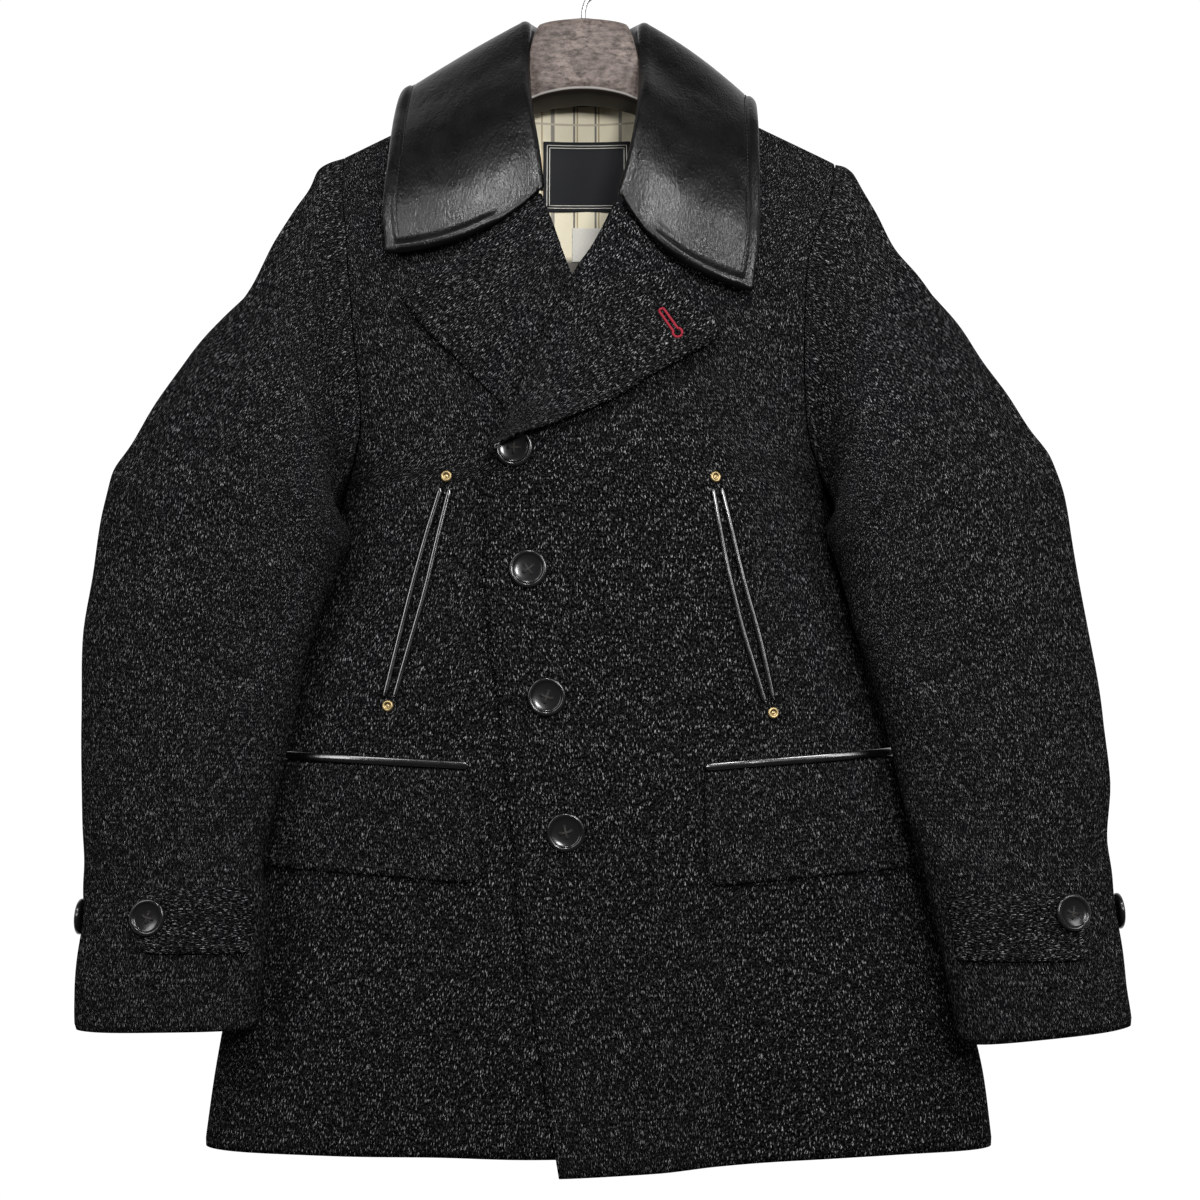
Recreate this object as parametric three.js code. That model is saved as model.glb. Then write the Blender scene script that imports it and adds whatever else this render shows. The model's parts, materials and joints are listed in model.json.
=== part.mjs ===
// Pea coat hanging on a broad-shouldered coat hanger, in millimetres.
// +Z is up, the front faces -Y and +X is the wearer's left. The origin is the inside
// top of the hanger's hook, where a rail carries it.
import * as THREE from 'three';

// Driving sizes
const CLOTH = 2.6; // tweed with its interlining
const LEATHER = 2.8; // collar leather on its undercollar
const SEAM_GAP = 0.4; // between pieces that meet at a seam
const ARMHOLE_GAP = 1.2; // the same where a sleeve is set in
const UNDERARM_SEAM_GAP = 1.6; // the same along a sleeve just below the armhole
const LAYER_GAP = 0.6; // between layers that lie on each other
const SHOULDER_TOP = -122; // height of the shoulder line where it meets the neck
const SHOULDER_SLOPE = 0.5; // fall of the shoulder line for each millimetre outward
const NECK_HALF = 68; // half the width of the neck at the shoulder line
const SLOPE_FADE = 200; // drop over which the shoulder's slope levels out
const UNDERARM_ROW = 13; // row of BODY where the armholes end
const HEM_ROW = 23;
const NECK_ROW = 5; // row of BODY at the nape
const FLY_HEM_DROP = 12; // the overlap hangs lower at its front corner
const DROP_WIDTH = [-16, 200]; // x over which that drop ends
const DROP_LEVELS = [640, 797]; // and the depths below the shoulder over which it grows
const RIGHT_ANGLE = Math.PI / 2;
const FRONT = -1;
const BACK = 1;
const LEFT_OF_VIEW = -1; // the wearer's right
const RIGHT_OF_VIEW = 1; // the wearer's left

const vector = (x, y, z) => new THREE.Vector3(x, y, z);
const mix = (a, b, share) => a + (b - a) * share;
const clamp = (value, low, high) => Math.min(high, Math.max(low, value));

function smoothStep(start, end, value) {
  const share = clamp((value - start) / (end - start), 0, 1);
  return share * share * (3 - 2 * share);
}

// A table of sections whose columns can be read smoothly between its rows
class Sections {
  constructor(columnNames, rows) {
    this.names = columnNames.split(' ');
    this.rows = rows;
  }

  slope(column, keys, index) {
    const value = (i) => this.rows[i][column];
    const rise = (i) => (value(i + 1) - value(i)) / (keys[i + 1] - keys[i]);
    if (index === 0) return rise(0);
    if (index === this.rows.length - 1) return rise(index - 1);
    const before = rise(index - 1);
    const after = rise(index);
    return before * after <= 0 ? 0 : (2 * before * after) / (before + after);
  }

  read(keys, key) {
    const last = this.rows.length - 1;
    const place = clamp(key, keys[0], keys[last]);
    let index = 0;
    while (index < last - 1 && keys[index + 1] <= place) index += 1;
    const span = keys[index + 1] - keys[index];
    const t = (place - keys[index]) / span;
    const result = {};
    this.names.forEach((name, column) => {
      const start = this.rows[index][column];
      const end = this.rows[index + 1][column];
      const leave = this.slope(column, keys, index) * span;
      const arrive = this.slope(column, keys, index + 1) * span;
      result[name] = start * (1 + 2 * t) * (1 - t) ** 2 + leave * t * (1 - t) ** 2
        + end * t * t * (3 - 2 * t) + arrive * t * t * (t - 1);
    });
    return result;
  }

  atRow(row) {
    return this.read(this.rows.map((values, index) => index), row);
  }

  at(key) {
    return this.read(this.rows.map((values) => values[0]), key);
  }
}

// Sections of the body from the shoulder line to the hem: the drop below the shoulder
// line, the sides, the depths to the front and back, and how square the section is
const BODY = new Sections('level left right front back square', [
  [0, 216, 226, 0, 0, 8],
  [1.2, 216, 226, 9, 9, 8],
  [4.5, 215, 225, 17, 17, 8],
  [10, 214, 224, 23.5, 23.5, 7],
  [20, 212, 222, 29, 28, 6.5],
  [40, 208, 217, 37, 33, 6],
  [70, 203, 210, 46, 38, 5],
  [110, 197, 202, 55, 43, 4.3],
  [150, 192, 195, 62, 47, 3.8],
  [190, 188, 190, 67, 50, 3.4],
  [230, 185, 186, 70, 52, 3.1],
  [270, 182, 184, 72, 54, 2.9],
  [300, 180, 182.5, 73, 55, 2.8],
  [318, 178, 182, 73, 56, 2.7],
  [345, 184, 189, 73, 57, 2.6],
  [385, 193, 198, 72.5, 57, 2.6],
  [430, 207, 210, 72, 57, 2.5],
  [475, 220, 222, 71, 57, 2.5],
  [525, 231, 237, 69, 56, 2.5],
  [580, 241, 251, 66, 54, 2.4],
  [640, 250, 266, 63, 52, 2.4],
  [700, 259, 282, 60, 49, 2.4],
  [750, 267, 293, 57, 47, 2.4],
  [797, 273, 298, 55, 45, 2.4],
]);

// Distance of the armhole seams from the middle, by row of BODY
const ARMHOLES = new Sections('row frontLeft frontRight backLeft backRight', [
  [0, 184, 195, 184, 195],
  [5, 181, 188, 181, 189],
  [6, 179, 181, 179, 184],
  [7, 176, 173, 177, 180],
  [8, 174, 166.5, 175, 177],
  [9, 171, 164.5, 174, 175],
  [10, 167, 163.5, 173, 174],
  [11, 163, 165, 172, 174],
  [12, 168, 172, 173, 176],
  [12.6, 173, 177, 175.5, 179],
  [13, 178, 182, 178, 182],
]);

// Inner edges of the fronts by depth below the shoulder line: neck, roll line, then edge
const OVERLAP_EDGE = new Sections('level x', [
  [0, 68], [20, 66.5], [45, 60], [75, 46], [106, 25.5], [152, 5], [166, -4],
  [263, -49], [303, -67.5], [318, -70], [385, -70], [430, -66], [475, -60],
  [511, -56], [566, -50], [620, -45], [730, -27], [797, -15.5],
]);
const UNDERLAP_EDGE = new Sections('level x', [
  [0, -68], [20, -66.5], [45, -61], [75, -49], [103, -30], [119, -24], [160, -10],
  [206, 10], [266, 34], [308, 52], [358, 68], [480, 66], [640, 54], [797, 40],
]);

// Sections of the sleeves: outer and inner ends as seen from the front, how far back
// each lies, and the depth to the front and back
const SLEEVE_COLUMNS = 'outerX outerZ innerX innerZ outerY innerY front back';
const SLEEVES = {
  [LEFT_OF_VIEW]: new Sections(SLEEVE_COLUMNS, [
    [-184, -179, -178, -440, 0, 0, 58, 46],
    [-195, -183, -181, -447, -1, -4, 57, 46],
    [-203, -189, -184, -454, -2, -11, 56, 46],
    [-207.5, -203, -184, -460, -3, -21, 56, 46],
    [-219, -223, -181, -465, -4, -33, 55, 45],
    [-233, -244, -176, -469, -5, -44, 54, 45],
    [-248, -277, -171, -473, -6, -52, 53, 44],
    [-271, -306, -168.5, -477, -8, -57, 52, 43],
    [-297, -337, -168, -482, -10, -59, 50, 42],
    [-318, -371, -169, -488, -13, -59, 48, 41],
    [-337, -407, -172, -496, -16, -57, 46, 40],
    [-350, -431, -177, -505, -19, -56, 44, 39],
    [-356, -455, -182, -517, -20, -56, 43, 38],
    [-360, -500, -190, -538, -24, -55, 41, 37],
    [-364, -553, -200, -578, -30, -55, 39, 36],
    [-363.5, -612, -207.5, -617, -35, -55, 37, 34],
    [-358, -681, -220, -684, -40, -56, 35, 32],
    [-354.5, -720, -225, -716, -43, -58, 33, 31],
    [-354, -745, -221, -745, -46, -60, 32, 30],
    [-355, -771, -222, -770, -50, -60, 31, 30],
    [-355.5, -803, -225, -803, -55, -60, 30, 29],
    [-354, -829, -226, -827, -55, -60, 30, 29],
  ]),
  [RIGHT_OF_VIEW]: new Sections(SLEEVE_COLUMNS, [
    [195, -182, 182, -440, 0, 0, 58, 46],
    [201, -184, 185, -447, -1, -4, 57, 46],
    [207, -189, 188, -454, -2, -11, 56, 46],
    [215, -206, 188, -460, -3, -21, 56, 46],
    [224, -226, 185, -465, -4, -33, 55, 45],
    [236, -249, 181, -469, -5, -44, 54, 45],
    [256, -275, 178, -473, -6, -52, 53, 44],
    [279, -306, 177.5, -477, -8, -57, 52, 43],
    [298, -335, 179, -482, -10, -59, 50, 42],
    [316, -364, 181, -488, -13, -59, 48, 41],
    [334, -395, 184, -496, -16, -57, 46, 40],
    [349, -419, 188, -510, -19, -56, 44, 39],
    [357, -440, 191, -522, -20, -56, 43, 38],
    [362, -483, 196, -545, -24, -55, 41, 37],
    [370, -553, 206, -576, -30, -55, 39, 36],
    [378, -608, 219, -621, -35, -55, 37, 34],
    [380, -655, 227, -662, -38, -56, 36, 32],
    [375, -700, 236, -699, -43, -58, 33, 31],
    [378, -728, 244, -727, -46, -60, 32, 30],
    [380, -760, 250, -759, -50, -60, 31, 30],
    [382, -795, 257, -797, -55, -60, 30, 29],
    [385, -826, 263, -838, -55, -60, 30, 29],
  ]),
};
const SLEEVE_ROWS = 21;
const SLEEVE_SQUARE = 2.3;
const BACK_HOLD = 0.6; // the back of a sleeve starts forward later than its inner edge
const HOLD_ROWS = [7, 15]; // rows over which that hold ends
const SLEEVE_BLEND_ROWS = 7; // rows over which the armhole's shape turns into the sleeve's
const CLEARANCE_ROWS = 1.5; // rows over which the underarm's clearance turns into the sleeve's
const SLEEVE_CLEARANCE = 3; // between the sleeve and the side of the body
const UNDERARM_CLEARANCE = 1; // the same at the seam itself
const FRONT_SEAM_TURN = 0.35; // radians that the front seam turns past the inner edge
const FRONT_SEAM_ROWS = [8, 13]; // rows over which it turns
const WIDE_SEAM_ROWS = [6, 9]; // rows over which the wider seam of the underarm ends
const HIND_SEAM_ROW = 8; // row of BODY where the hind seam meets the armhole

function bodySection(row) {
  const section = BODY.atRow(row);
  section.centre = (section.right - section.left) / 2;
  section.halfWidth = (section.right + section.left) / 2;
  return section;
}

// The row of BODY where the back starts, lower at the nape than on the shoulders
function backTopRow(x) {
  return NECK_ROW * Math.max(0, 1 - (x / NECK_HALF) ** 2);
}

// Drop of the shoulder line below the neck; at the nape the back rises to stay level
function slopeDrop(face, x) {
  const outward = Math.abs(x);
  if (outward > NECK_HALF) return SHOULDER_SLOPE * (outward - NECK_HALF);
  return face === BACK ? -BODY.atRow(backTopRow(x)).level : 0;
}

function bodyPoint(face, row, angle) {
  const section = bodySection(row);
  const across = Math.sin(angle);
  const x = section.centre + section.halfWidth * across;
  const depth = face === FRONT ? section.front : section.back;
  const fullness = Math.max(0, 1 - Math.abs(across) ** section.square) ** (1 / section.square);
  const slope = slopeDrop(face, x) * (1 - smoothStep(0, SLOPE_FADE, section.level));
  return vector(x, face * depth * fullness, SHOULDER_TOP - section.level - slope);
}

function bodyNormal(face, row, angle) {
  const step = 0.01;
  const low = clamp(row - step, 0, HEM_ROW);
  const high = clamp(row + step, 0, HEM_ROW);
  const start = clamp(angle - step, -RIGHT_ANGLE, RIGHT_ANGLE);
  const end = clamp(angle + step, -RIGHT_ANGLE, RIGHT_ANGLE);
  const down = bodyPoint(face, high, angle).sub(bodyPoint(face, low, angle));
  const side = bodyPoint(face, row, end).sub(bodyPoint(face, row, start));
  const normal = down.cross(side).multiplyScalar(-face);
  if (row === 0) normal.y = 0;
  return normal.normalize();
}

function bodyAngle(row, x) {
  const section = bodySection(row);
  return Math.asin(clamp((x - section.centre) / section.halfWidth, -1, 1));
}

// The place on the front or back, as row and angle, that is seen at x and z
function bodyPlace(face, x, z) {
  let low = 0;
  let high = HEM_ROW;
  for (let pass = 0; pass < 30; pass += 1) {
    const middle = (low + high) / 2;
    if (bodyPoint(face, middle, bodyAngle(middle, x)).z > z) low = middle;
    else high = middle;
  }
  return { row: low, angle: bodyAngle(low, x) };
}

const LIFT_START = 14; // beyond the underlap's edge, where the overlap starts to settle
const LIFT_END = 54;
const ONE_LAYER_LIFT = 4; // over the underlap alone
const THREE_LAYER_LIFT = 11; // over the underlap and its lapel with facing
const LAPEL_HEIGHTS = [-500, -395]; // z between which the lift grows from one to the other
const LIFT_TOP = [-290, -215]; // z over which it ends below the neck

// How far the overlapping front is carried out by the layers that lie under it
function overlapLift(x, z) {
  const level = SHOULDER_TOP - z;
  const underEdge = UNDERLAP_EDGE.at(level).x;
  const layers = mix(ONE_LAYER_LIFT, THREE_LAYER_LIFT, smoothStep(...LAPEL_HEIGHTS, z));
  const across = 1 - smoothStep(underEdge + LIFT_START, underEdge + LIFT_END, x);
  return layers * across * (1 - smoothStep(...LIFT_TOP, z));
}

// A point on the front at x and z, moved out from its cloth; side tells which front
function frontPoint(side, x, z, outward) {
  const place = bodyPlace(FRONT, x, z);
  const lift = side === RIGHT_OF_VIEW ? overlapLift(x, z) : 0;
  const normal = bodyNormal(FRONT, place.row, place.angle);
  return bodyPoint(FRONT, place.row, place.angle).addScaledVector(normal, outward + lift);
}

// The outward normal of a front at x and z, as it lies over the layers below it
function frontNormal(side, x, z) {
  const reach = 4;
  const across = frontPoint(side, x + reach, z, 0).sub(frontPoint(side, x - reach, z, 0));
  const up = frontPoint(side, x, z + reach, 0).sub(frontPoint(side, x, z - reach, 0));
  return across.cross(up).normalize();
}

// Closed wall between two grids of points that match, row by row
function wallGeometry(outer, inner) {
  const rows = outer.length;
  const columns = outer[0].length;
  const positions = [];
  for (const grid of [outer, inner]) {
    for (const row of grid) for (const point of row) positions.push(point.x, point.y, point.z);
  }
  const index = (layer, row, column) => (layer * rows + row) * columns + column;
  const faces = [];
  const quad = (a, b, c, d) => faces.push(a, b, c, a, c, d);
  for (let r = 0; r < rows - 1; r += 1) {
    for (let c = 0; c < columns - 1; c += 1) {
      quad(index(0, r, c), index(0, r + 1, c), index(0, r + 1, c + 1), index(0, r, c + 1));
      quad(index(1, r, c), index(1, r, c + 1), index(1, r + 1, c + 1), index(1, r + 1, c));
    }
  }
  for (let c = 0; c < columns - 1; c += 1) {
    quad(index(0, 0, c), index(0, 0, c + 1), index(1, 0, c + 1), index(1, 0, c));
    const r = rows - 1;
    quad(index(0, r, c + 1), index(0, r, c), index(1, r, c), index(1, r, c + 1));
  }
  for (let r = 0; r < rows - 1; r += 1) {
    quad(index(0, r + 1, 0), index(0, r, 0), index(1, r, 0), index(1, r + 1, 0));
    const c = columns - 1;
    quad(index(0, r, c), index(0, r + 1, c), index(1, r + 1, c), index(1, r, c));
  }
  const geometry = new THREE.BufferGeometry();
  geometry.setAttribute('position', new THREE.Float32BufferAttribute(positions, 3));
  geometry.setIndex(faces);
  if (signedVolume(geometry) < 0) turnFaces(geometry);
  geometry.computeVertexNormals();
  return geometry;
}

function signedVolume(geometry) {
  const position = geometry.getAttribute('position');
  const index = geometry.getIndex();
  const corner = (i) => vector(0, 0, 0).fromBufferAttribute(position, index.getX(i));
  let volume = 0;
  for (let i = 0; i < index.count; i += 3) {
    volume += corner(i).dot(corner(i + 1).cross(corner(i + 2))) / 6;
  }
  return volume;
}

function turnFaces(geometry) {
  const index = geometry.getIndex();
  for (let i = 0; i < index.count; i += 3) {
    const second = index.getX(i + 1);
    index.setX(i + 1, index.getX(i + 2));
    index.setX(i + 2, second);
  }
}

// Draws the border of a piece back by half a seam gap, in both of its faces
function trimBorder(outer, inner, firstRowGap, sideGaps) {
  const rows = outer.length;
  const columns = outer[0].length;
  const pull = (r, c, fromR, fromC, gap) => {
    const step = outer[fromR][fromC].clone().sub(outer[r][c]).setLength(gap / 2);
    outer[r][c].add(step);
    inner[r][c].add(step);
  };
  for (let r = 0; r < rows; r += 1) {
    pull(r, 0, r, 1, sideGaps[r]);
    pull(r, columns - 1, r, columns - 2, sideGaps[r]);
  }
  for (let c = 0; c < columns; c += 1) {
    pull(0, c, 1, c, firstRowGap);
    pull(rows - 1, c, rows - 2, c, SEAM_GAP);
  }
}

// A cloth wall from a rule that gives each place its outer point and its normal
const plainSeam = () => SEAM_GAP;

function sheetGeometry(rowPlaces, columnPlaces, rule, firstRowGap = SEAM_GAP, sideGap = plainSeam) {
  const outer = [];
  const inner = [];
  for (const row of rowPlaces) {
    const places = columnPlaces.map((column) => rule(row, column));
    outer.push(places.map(({ point }) => point.clone()));
    inner.push(places.map(({ point, normal }) => point.clone().addScaledVector(normal, -CLOTH)));
  }
  trimBorder(outer, inner, firstRowGap, rowPlaces.map(sideGap));
  return wallGeometry(outer, inner);
}

const spread = (count, start = 0, end = 1) => Array.from(
  { length: count },
  (unused, i) => mix(start, end, i / (count - 1)),
);

function sideName(side) {
  return side === LEFT_OF_VIEW ? 'Left' : 'Right';
}

function armholeX(face, side, row) {
  const name = (face === FRONT ? 'front' : 'back') + sideName(side);
  return side * ARMHOLES.at(row)[name];
}

function outerAngle(face, side, row) {
  if (row >= UNDERARM_ROW) return side * RIGHT_ANGLE;
  return bodyAngle(row, armholeX(face, side, row));
}

const PANEL_ROWS = [0, 1, 2, 3, 4, 5, 6, 7, 8, 9, 10, 11, 12, 12.6, 13, 14, 15, 16, 17, 18.5, 20,
  21.5, 23];
const EXTRA_ROWS = [6.5, 7.5, 8.25, 8.5, 13.5, 14.5]; // of the overlap, where the layers below it end
const OVERLAP_ROWS = [...PANEL_ROWS, ...EXTRA_ROWS].sort((a, b) => a - b);

const ROLL_ALLOWANCE = 5.6; // from the visible roll of a lapel to the edge inside it
const ROLL_START = [95, 106]; // levels over which the allowance begins
const ROLL_FADE = 30; // and the depth over which it ends

// Columns of the overlap: to the edge of the underlap below it, over that edge, and beyond
const UNDERLAP_SHARE = 0.25;
const SETTLED_SHARE = 0.55;
const LIFTED_WIDTH = 15; // the least width of the overlap's first and first two groups of columns
const SETTLED_WIDTH = 45;
const OVERLAP_COLUMNS = [...spread(4, 0, UNDERLAP_SHARE), ...spread(5, UNDERLAP_SHARE, SETTLED_SHARE)
  .slice(1), ...spread(7, SETTLED_SHARE, 1).slice(1)];

function panelAngle(side, row, innerX, share) {
  const start = bodyAngle(row, innerX);
  const end = outerAngle(FRONT, side, row);
  if (side === LEFT_OF_VIEW) return mix(start, end, share);
  const underEdge = UNDERLAP_EDGE.at(bodySection(row).level).x;
  const lifted = Math.max(innerX + LIFTED_WIDTH, underEdge + LIFT_START);
  const settled = Math.max(innerX + SETTLED_WIDTH, underEdge + LIFT_END);
  if (share < UNDERLAP_SHARE) return bodyAngle(row, mix(innerX, lifted, share / UNDERLAP_SHARE));
  if (share < SETTLED_SHARE) {
    const over = (share - UNDERLAP_SHARE) / (SETTLED_SHARE - UNDERLAP_SHARE);
    return bodyAngle(row, mix(lifted, settled, over));
  }
  return mix(bodyAngle(row, settled), end, (share - SETTLED_SHARE) / (1 - SETTLED_SHARE));
}

// One front, from its inner edge to the armhole and side seam
function frontGeometry(side) {
  const edge = side === RIGHT_OF_VIEW ? OVERLAP_EDGE : UNDERLAP_EDGE;
  const rollAllowance = side * ROLL_ALLOWANCE;
  const rule = (row, share) => {
    const level = bodySection(row).level;
    const rollEnd = LAPELS[side].rollEnd;
    const faded = smoothStep(rollEnd, rollEnd + ROLL_FADE, level);
    const rolled = smoothStep(...ROLL_START, level) * (1 - faded);
    const innerX = edge.at(level).x + rollAllowance * rolled;
    const angle = panelAngle(side, row, innerX, share);
    const point = bodyPoint(FRONT, row, angle);
    const normal = bodyNormal(FRONT, row, angle);
    if (side === RIGHT_OF_VIEW) {
      point.addScaledVector(normal, overlapLift(point.x, point.z));
      const towardEdge = 1 - smoothStep(...DROP_WIDTH, point.x);
      point.z -= FLY_HEM_DROP * towardEdge * smoothStep(...DROP_LEVELS, level);
    }
    return { point, normal };
  };
  const rows = side === RIGHT_OF_VIEW ? OVERLAP_ROWS : PANEL_ROWS;
  const columns = side === RIGHT_OF_VIEW ? OVERLAP_COLUMNS : spread(11);
  return sheetGeometry(rows, columns, rule);
}

const TOP_ROWS = 8; // rows over which the back's rows even out below the neck
const NECK_SHARE = 0.25; // share of the back's columns that lie on each shoulder

function backPlace(row, share) {
  const start = outerAngle(BACK, LEFT_OF_VIEW, row);
  const end = outerAngle(BACK, RIGHT_OF_VIEW, row);
  const even = mix(start, end, share);
  let angle = even;
  if (row < UNDERARM_ROW && share > 0 && share < 1) {
    const neck = bodyAngle(row, NECK_HALF);
    const warped = share < NECK_SHARE ? mix(start, -neck, share / NECK_SHARE)
      : share > 1 - NECK_SHARE ? mix(neck, end, (share - 1 + NECK_SHARE) / NECK_SHARE)
        : mix(-neck, neck, (share - NECK_SHARE) / (1 - 2 * NECK_SHARE));
    angle = mix(warped, even, smoothStep(0, UNDERARM_ROW, row));
  }
  const x = bodyPoint(BACK, row, angle).x;
  const top = backTopRow(x);
  const placed = row < TOP_ROWS ? mix(top, Math.max(top, TOP_ROWS), row / TOP_ROWS) : row;
  angle = bodyAngle(placed, x);
  return { row: placed, angle: row >= UNDERARM_ROW ? clampSide(share, angle) : angle };
}

function clampSide(share, angle) {
  if (share <= 0) return -RIGHT_ANGLE;
  return share >= 1 ? RIGHT_ANGLE : angle;
}

function backGeometry() {
  const rule = (row, share) => {
    const place = backPlace(row, share);
    return {
      point: bodyPoint(BACK, place.row, place.angle),
      normal: bodyNormal(BACK, place.row, place.angle),
    };
  };
  return sheetGeometry(PANEL_ROWS, spread(17), rule);
}

const signedPower = (value, power) => Math.sign(value) * Math.abs(value) ** power;

function sleeveOval(side, row, angle) {
  const section = SLEEVES[side].atRow(row);
  const along = (1 - signedPower(Math.cos(angle), 2 / SLEEVE_SQUARE)) / 2;
  const deep = signedPower(Math.sin(angle), 2 / SLEEVE_SQUARE);
  const depth = deep > 0 ? section.front : section.back;
  const held = (1 - smoothStep(...HOLD_ROWS, row)) * smoothStep(0, BACK_HOLD, -deep);
  return vector(
    mix(section.outerX, section.innerX, along),
    mix(section.outerY, section.innerY, along) * (1 - held) - deep * depth,
    mix(section.outerZ, section.innerZ, along),
  );
}

// The armhole seam: over the front from the shoulder to the underarm, and up the back
function armholePoint(side, angle) {
  const face = Math.sin(angle) >= 0 ? FRONT : BACK;
  const onSeam = (row) => bodyPoint(face, row, outerAngle(face, side, row));
  const top = onSeam(0).z;
  const bottom = onSeam(UNDERARM_ROW).z;
  const height = mix(top, bottom, (1 - Math.cos(angle)) / 2);
  let low = 0;
  let high = UNDERARM_ROW;
  for (let pass = 0; pass < 30; pass += 1) {
    const middle = (low + high) / 2;
    if (onSeam(middle).z > height) low = middle;
    else high = middle;
  }
  return onSeam(low);
}

// The angle round the sleeve that meets the armhole at a row of BODY
function armholeAngle(face, side, row) {
  const height = (place) => bodyPoint(face, place, outerAngle(face, side, place)).z;
  const share = (height(row) - height(0)) / (height(UNDERARM_ROW) - height(0));
  return -face * Math.acos(1 - 2 * share);
}

// Moves a point of the sleeve outward, off the side of the body
function clearOfBody(point, clearance) {
  const level = SHOULDER_TOP - point.z;
  if (level < BODY.rows[UNDERARM_ROW][0]) return;
  const section = BODY.at(level);
  const centre = (section.right - section.left) / 2;
  const halfWidth = (section.right + section.left) / 2 + clearance;
  const depth = (point.y < 0 ? section.front : section.back) + clearance;
  const across = Math.abs(point.x - centre) / halfWidth;
  const deep = Math.abs(point.y) / depth;
  const reach = (across ** section.square + deep ** section.square) ** (1 / section.square);
  if (reach >= 1) return;
  point.x = centre + (point.x - centre) / reach;
  point.y /= reach;
}

function sleevePoint(side, row, angle) {
  const point = sleeveOval(side, row, angle);
  const kept = 1 - smoothStep(0, SLEEVE_BLEND_ROWS, row);
  if (kept > 0) {
    const start = armholePoint(side, angle).sub(sleeveOval(side, 0, angle));
    point.addScaledVector(start, kept);
  }
  clearOfBody(point, mix(UNDERARM_CLEARANCE, SLEEVE_CLEARANCE, smoothStep(0, CLEARANCE_ROWS, row)));
  return point;
}

function sleeveNormal(side, row, angle) {
  const step = 0.02;
  const low = clamp(row - step, 0, SLEEVE_ROWS);
  const high = clamp(row + step, 0, SLEEVE_ROWS);
  const down = sleevePoint(side, high, angle).sub(sleevePoint(side, low, angle));
  const round = sleevePoint(side, row, angle + step).sub(sleevePoint(side, row, angle - step));
  return down.cross(round).multiplyScalar(-side).normalize();
}

const SLEEVE_PLACES = [0, 1, 2, 3, 4, 5, 6, 7, 8, 9, 10, 11, 12, 13, 14.5, 16, 17, 18, 19.5, 21];

// The front seam runs from the underarm, and turns a little past the inner edge below it
function frontSeamAngle(row) {
  return Math.PI + FRONT_SEAM_TURN * smoothStep(...FRONT_SEAM_ROWS, row);
}

function sleeveGeometry(side, columnPlaces) {
  const rule = (row, column) => {
    const angle = column.eased ? mix(frontSeamAngle(row), column.end, column.share) : column;
    return { point: sleevePoint(side, row, angle), normal: sleeveNormal(side, row, angle) };
  };
  const seamGap = (row) => mix(UNDERARM_SEAM_GAP, SEAM_GAP, smoothStep(...WIDE_SEAM_ROWS, row));
  return sheetGeometry(SLEEVE_PLACES, columnPlaces, rule, 2 * ARMHOLE_GAP, seamGap);
}

// Columns of the top sleeve, from the seam behind, over the shoulder, to the front seam
function topSleeveGeometry(side) {
  const behind = [HIND_SEAM_ROW, 7, 6, 5, 4, 2].map((row) => armholeAngle(BACK, side, row));
  const before = [0, 2, 4, 5, 6, 7, 8, 9, 10, 11, 12, 12.6]
    .map((row) => armholeAngle(FRONT, side, row));
  const seam = { eased: true, end: Math.PI, share: 0 };
  return sleeveGeometry(side, [...behind, ...before, seam]);
}

function underSleeveGeometry(side) {
  const end = 2 * Math.PI + armholeAngle(BACK, side, HIND_SEAM_ROW);
  const columns = [UNDERARM_ROW, 12.9, 12.75, 12.6, 12, 11, 10, 9, HIND_SEAM_ROW].map((row) => {
    const angle = 2 * Math.PI + armholeAngle(BACK, side, row);
    return { eased: true, end, share: (angle - Math.PI) / (end - Math.PI) };
  });
  return sleeveGeometry(side, columns);
}

// A thin piece that lies on the front; the rule gives x, z and its two distances from it
function frontPatch(side, rowPlaces, columnPlaces, rule) {
  const outer = [];
  const inner = [];
  for (const row of rowPlaces) {
    const places = columnPlaces.map((column) => rule(row, column));
    outer.push(places.map(({ x, z, high }) => frontPoint(side, x, z, high)));
    inner.push(places.map(({ x, z, low }) => frontPoint(side, x, z, low)));
  }
  return wallGeometry(outer, inner);
}

// Free edges of the lapels from tip to break, and how far each stands off the front
const LAPELS = {
  [RIGHT_OF_VIEW]: {
    rollTop: 108,
    rollEnd: 296,
    edge: new Sections('share x z lift', [
      [0, 98, -327, 9], [0.03, 99, -333, 9], [0.07, 96, -340, 9], [0.2, 76, -353, 8],
      [0.36, 48, -371.5, 7], [0.5, 26, -386, 6], [0.66, -4, -399, 6], [0.78, -26, -408, 8.5],
      [0.91, -48, -415.5, 14.2], [0.96, -58, -421, 15.6], [1, -65, -430.5, 13],
    ]),
  },
  [LEFT_OF_VIEW]: {
    rollTop: 105,
    rollEnd: 188,
    edge: new Sections('share x z lift', [
      [0, -127, -303, 3.5], [0.05, -128.5, -308, 3.5], [0.12, -122, -318, 3],
      [0.25, -113, -330, 2.5], [0.5, -87, -357, 1.5], [0.7, -69, -375, 0.6],
      [0.85, -59, -385, 0], [1, -52, -392, 0],
    ]),
  },
};
const ROLL_RADIUS = LAYER_GAP + CLOTH * 1.5; // visible face of the cloth where it rolls
const TOP_CURL = 2; // how the lift grows across the lapel, as a power, at its top
const BREAK_CURL = 0.8; // and at the break, where it rolls over the first button
const FACING_INSIDE = 12; // width of facing inside the roll
const OVER_EASE = 0.4; // how far the lapel stands off the front all over
const FACING_EASE = 1.2; // how far its end stands off the front
const LAPEL_PLACES = [0, 0.03, 0.07, 0.14, 0.24, 0.36, 0.48, 0.6, 0.72, 0.82, 0.91, 1];
const LAPEL_SHARES = [0.1, 0.25, 0.45, 0.65, 0.85, 1];

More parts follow.
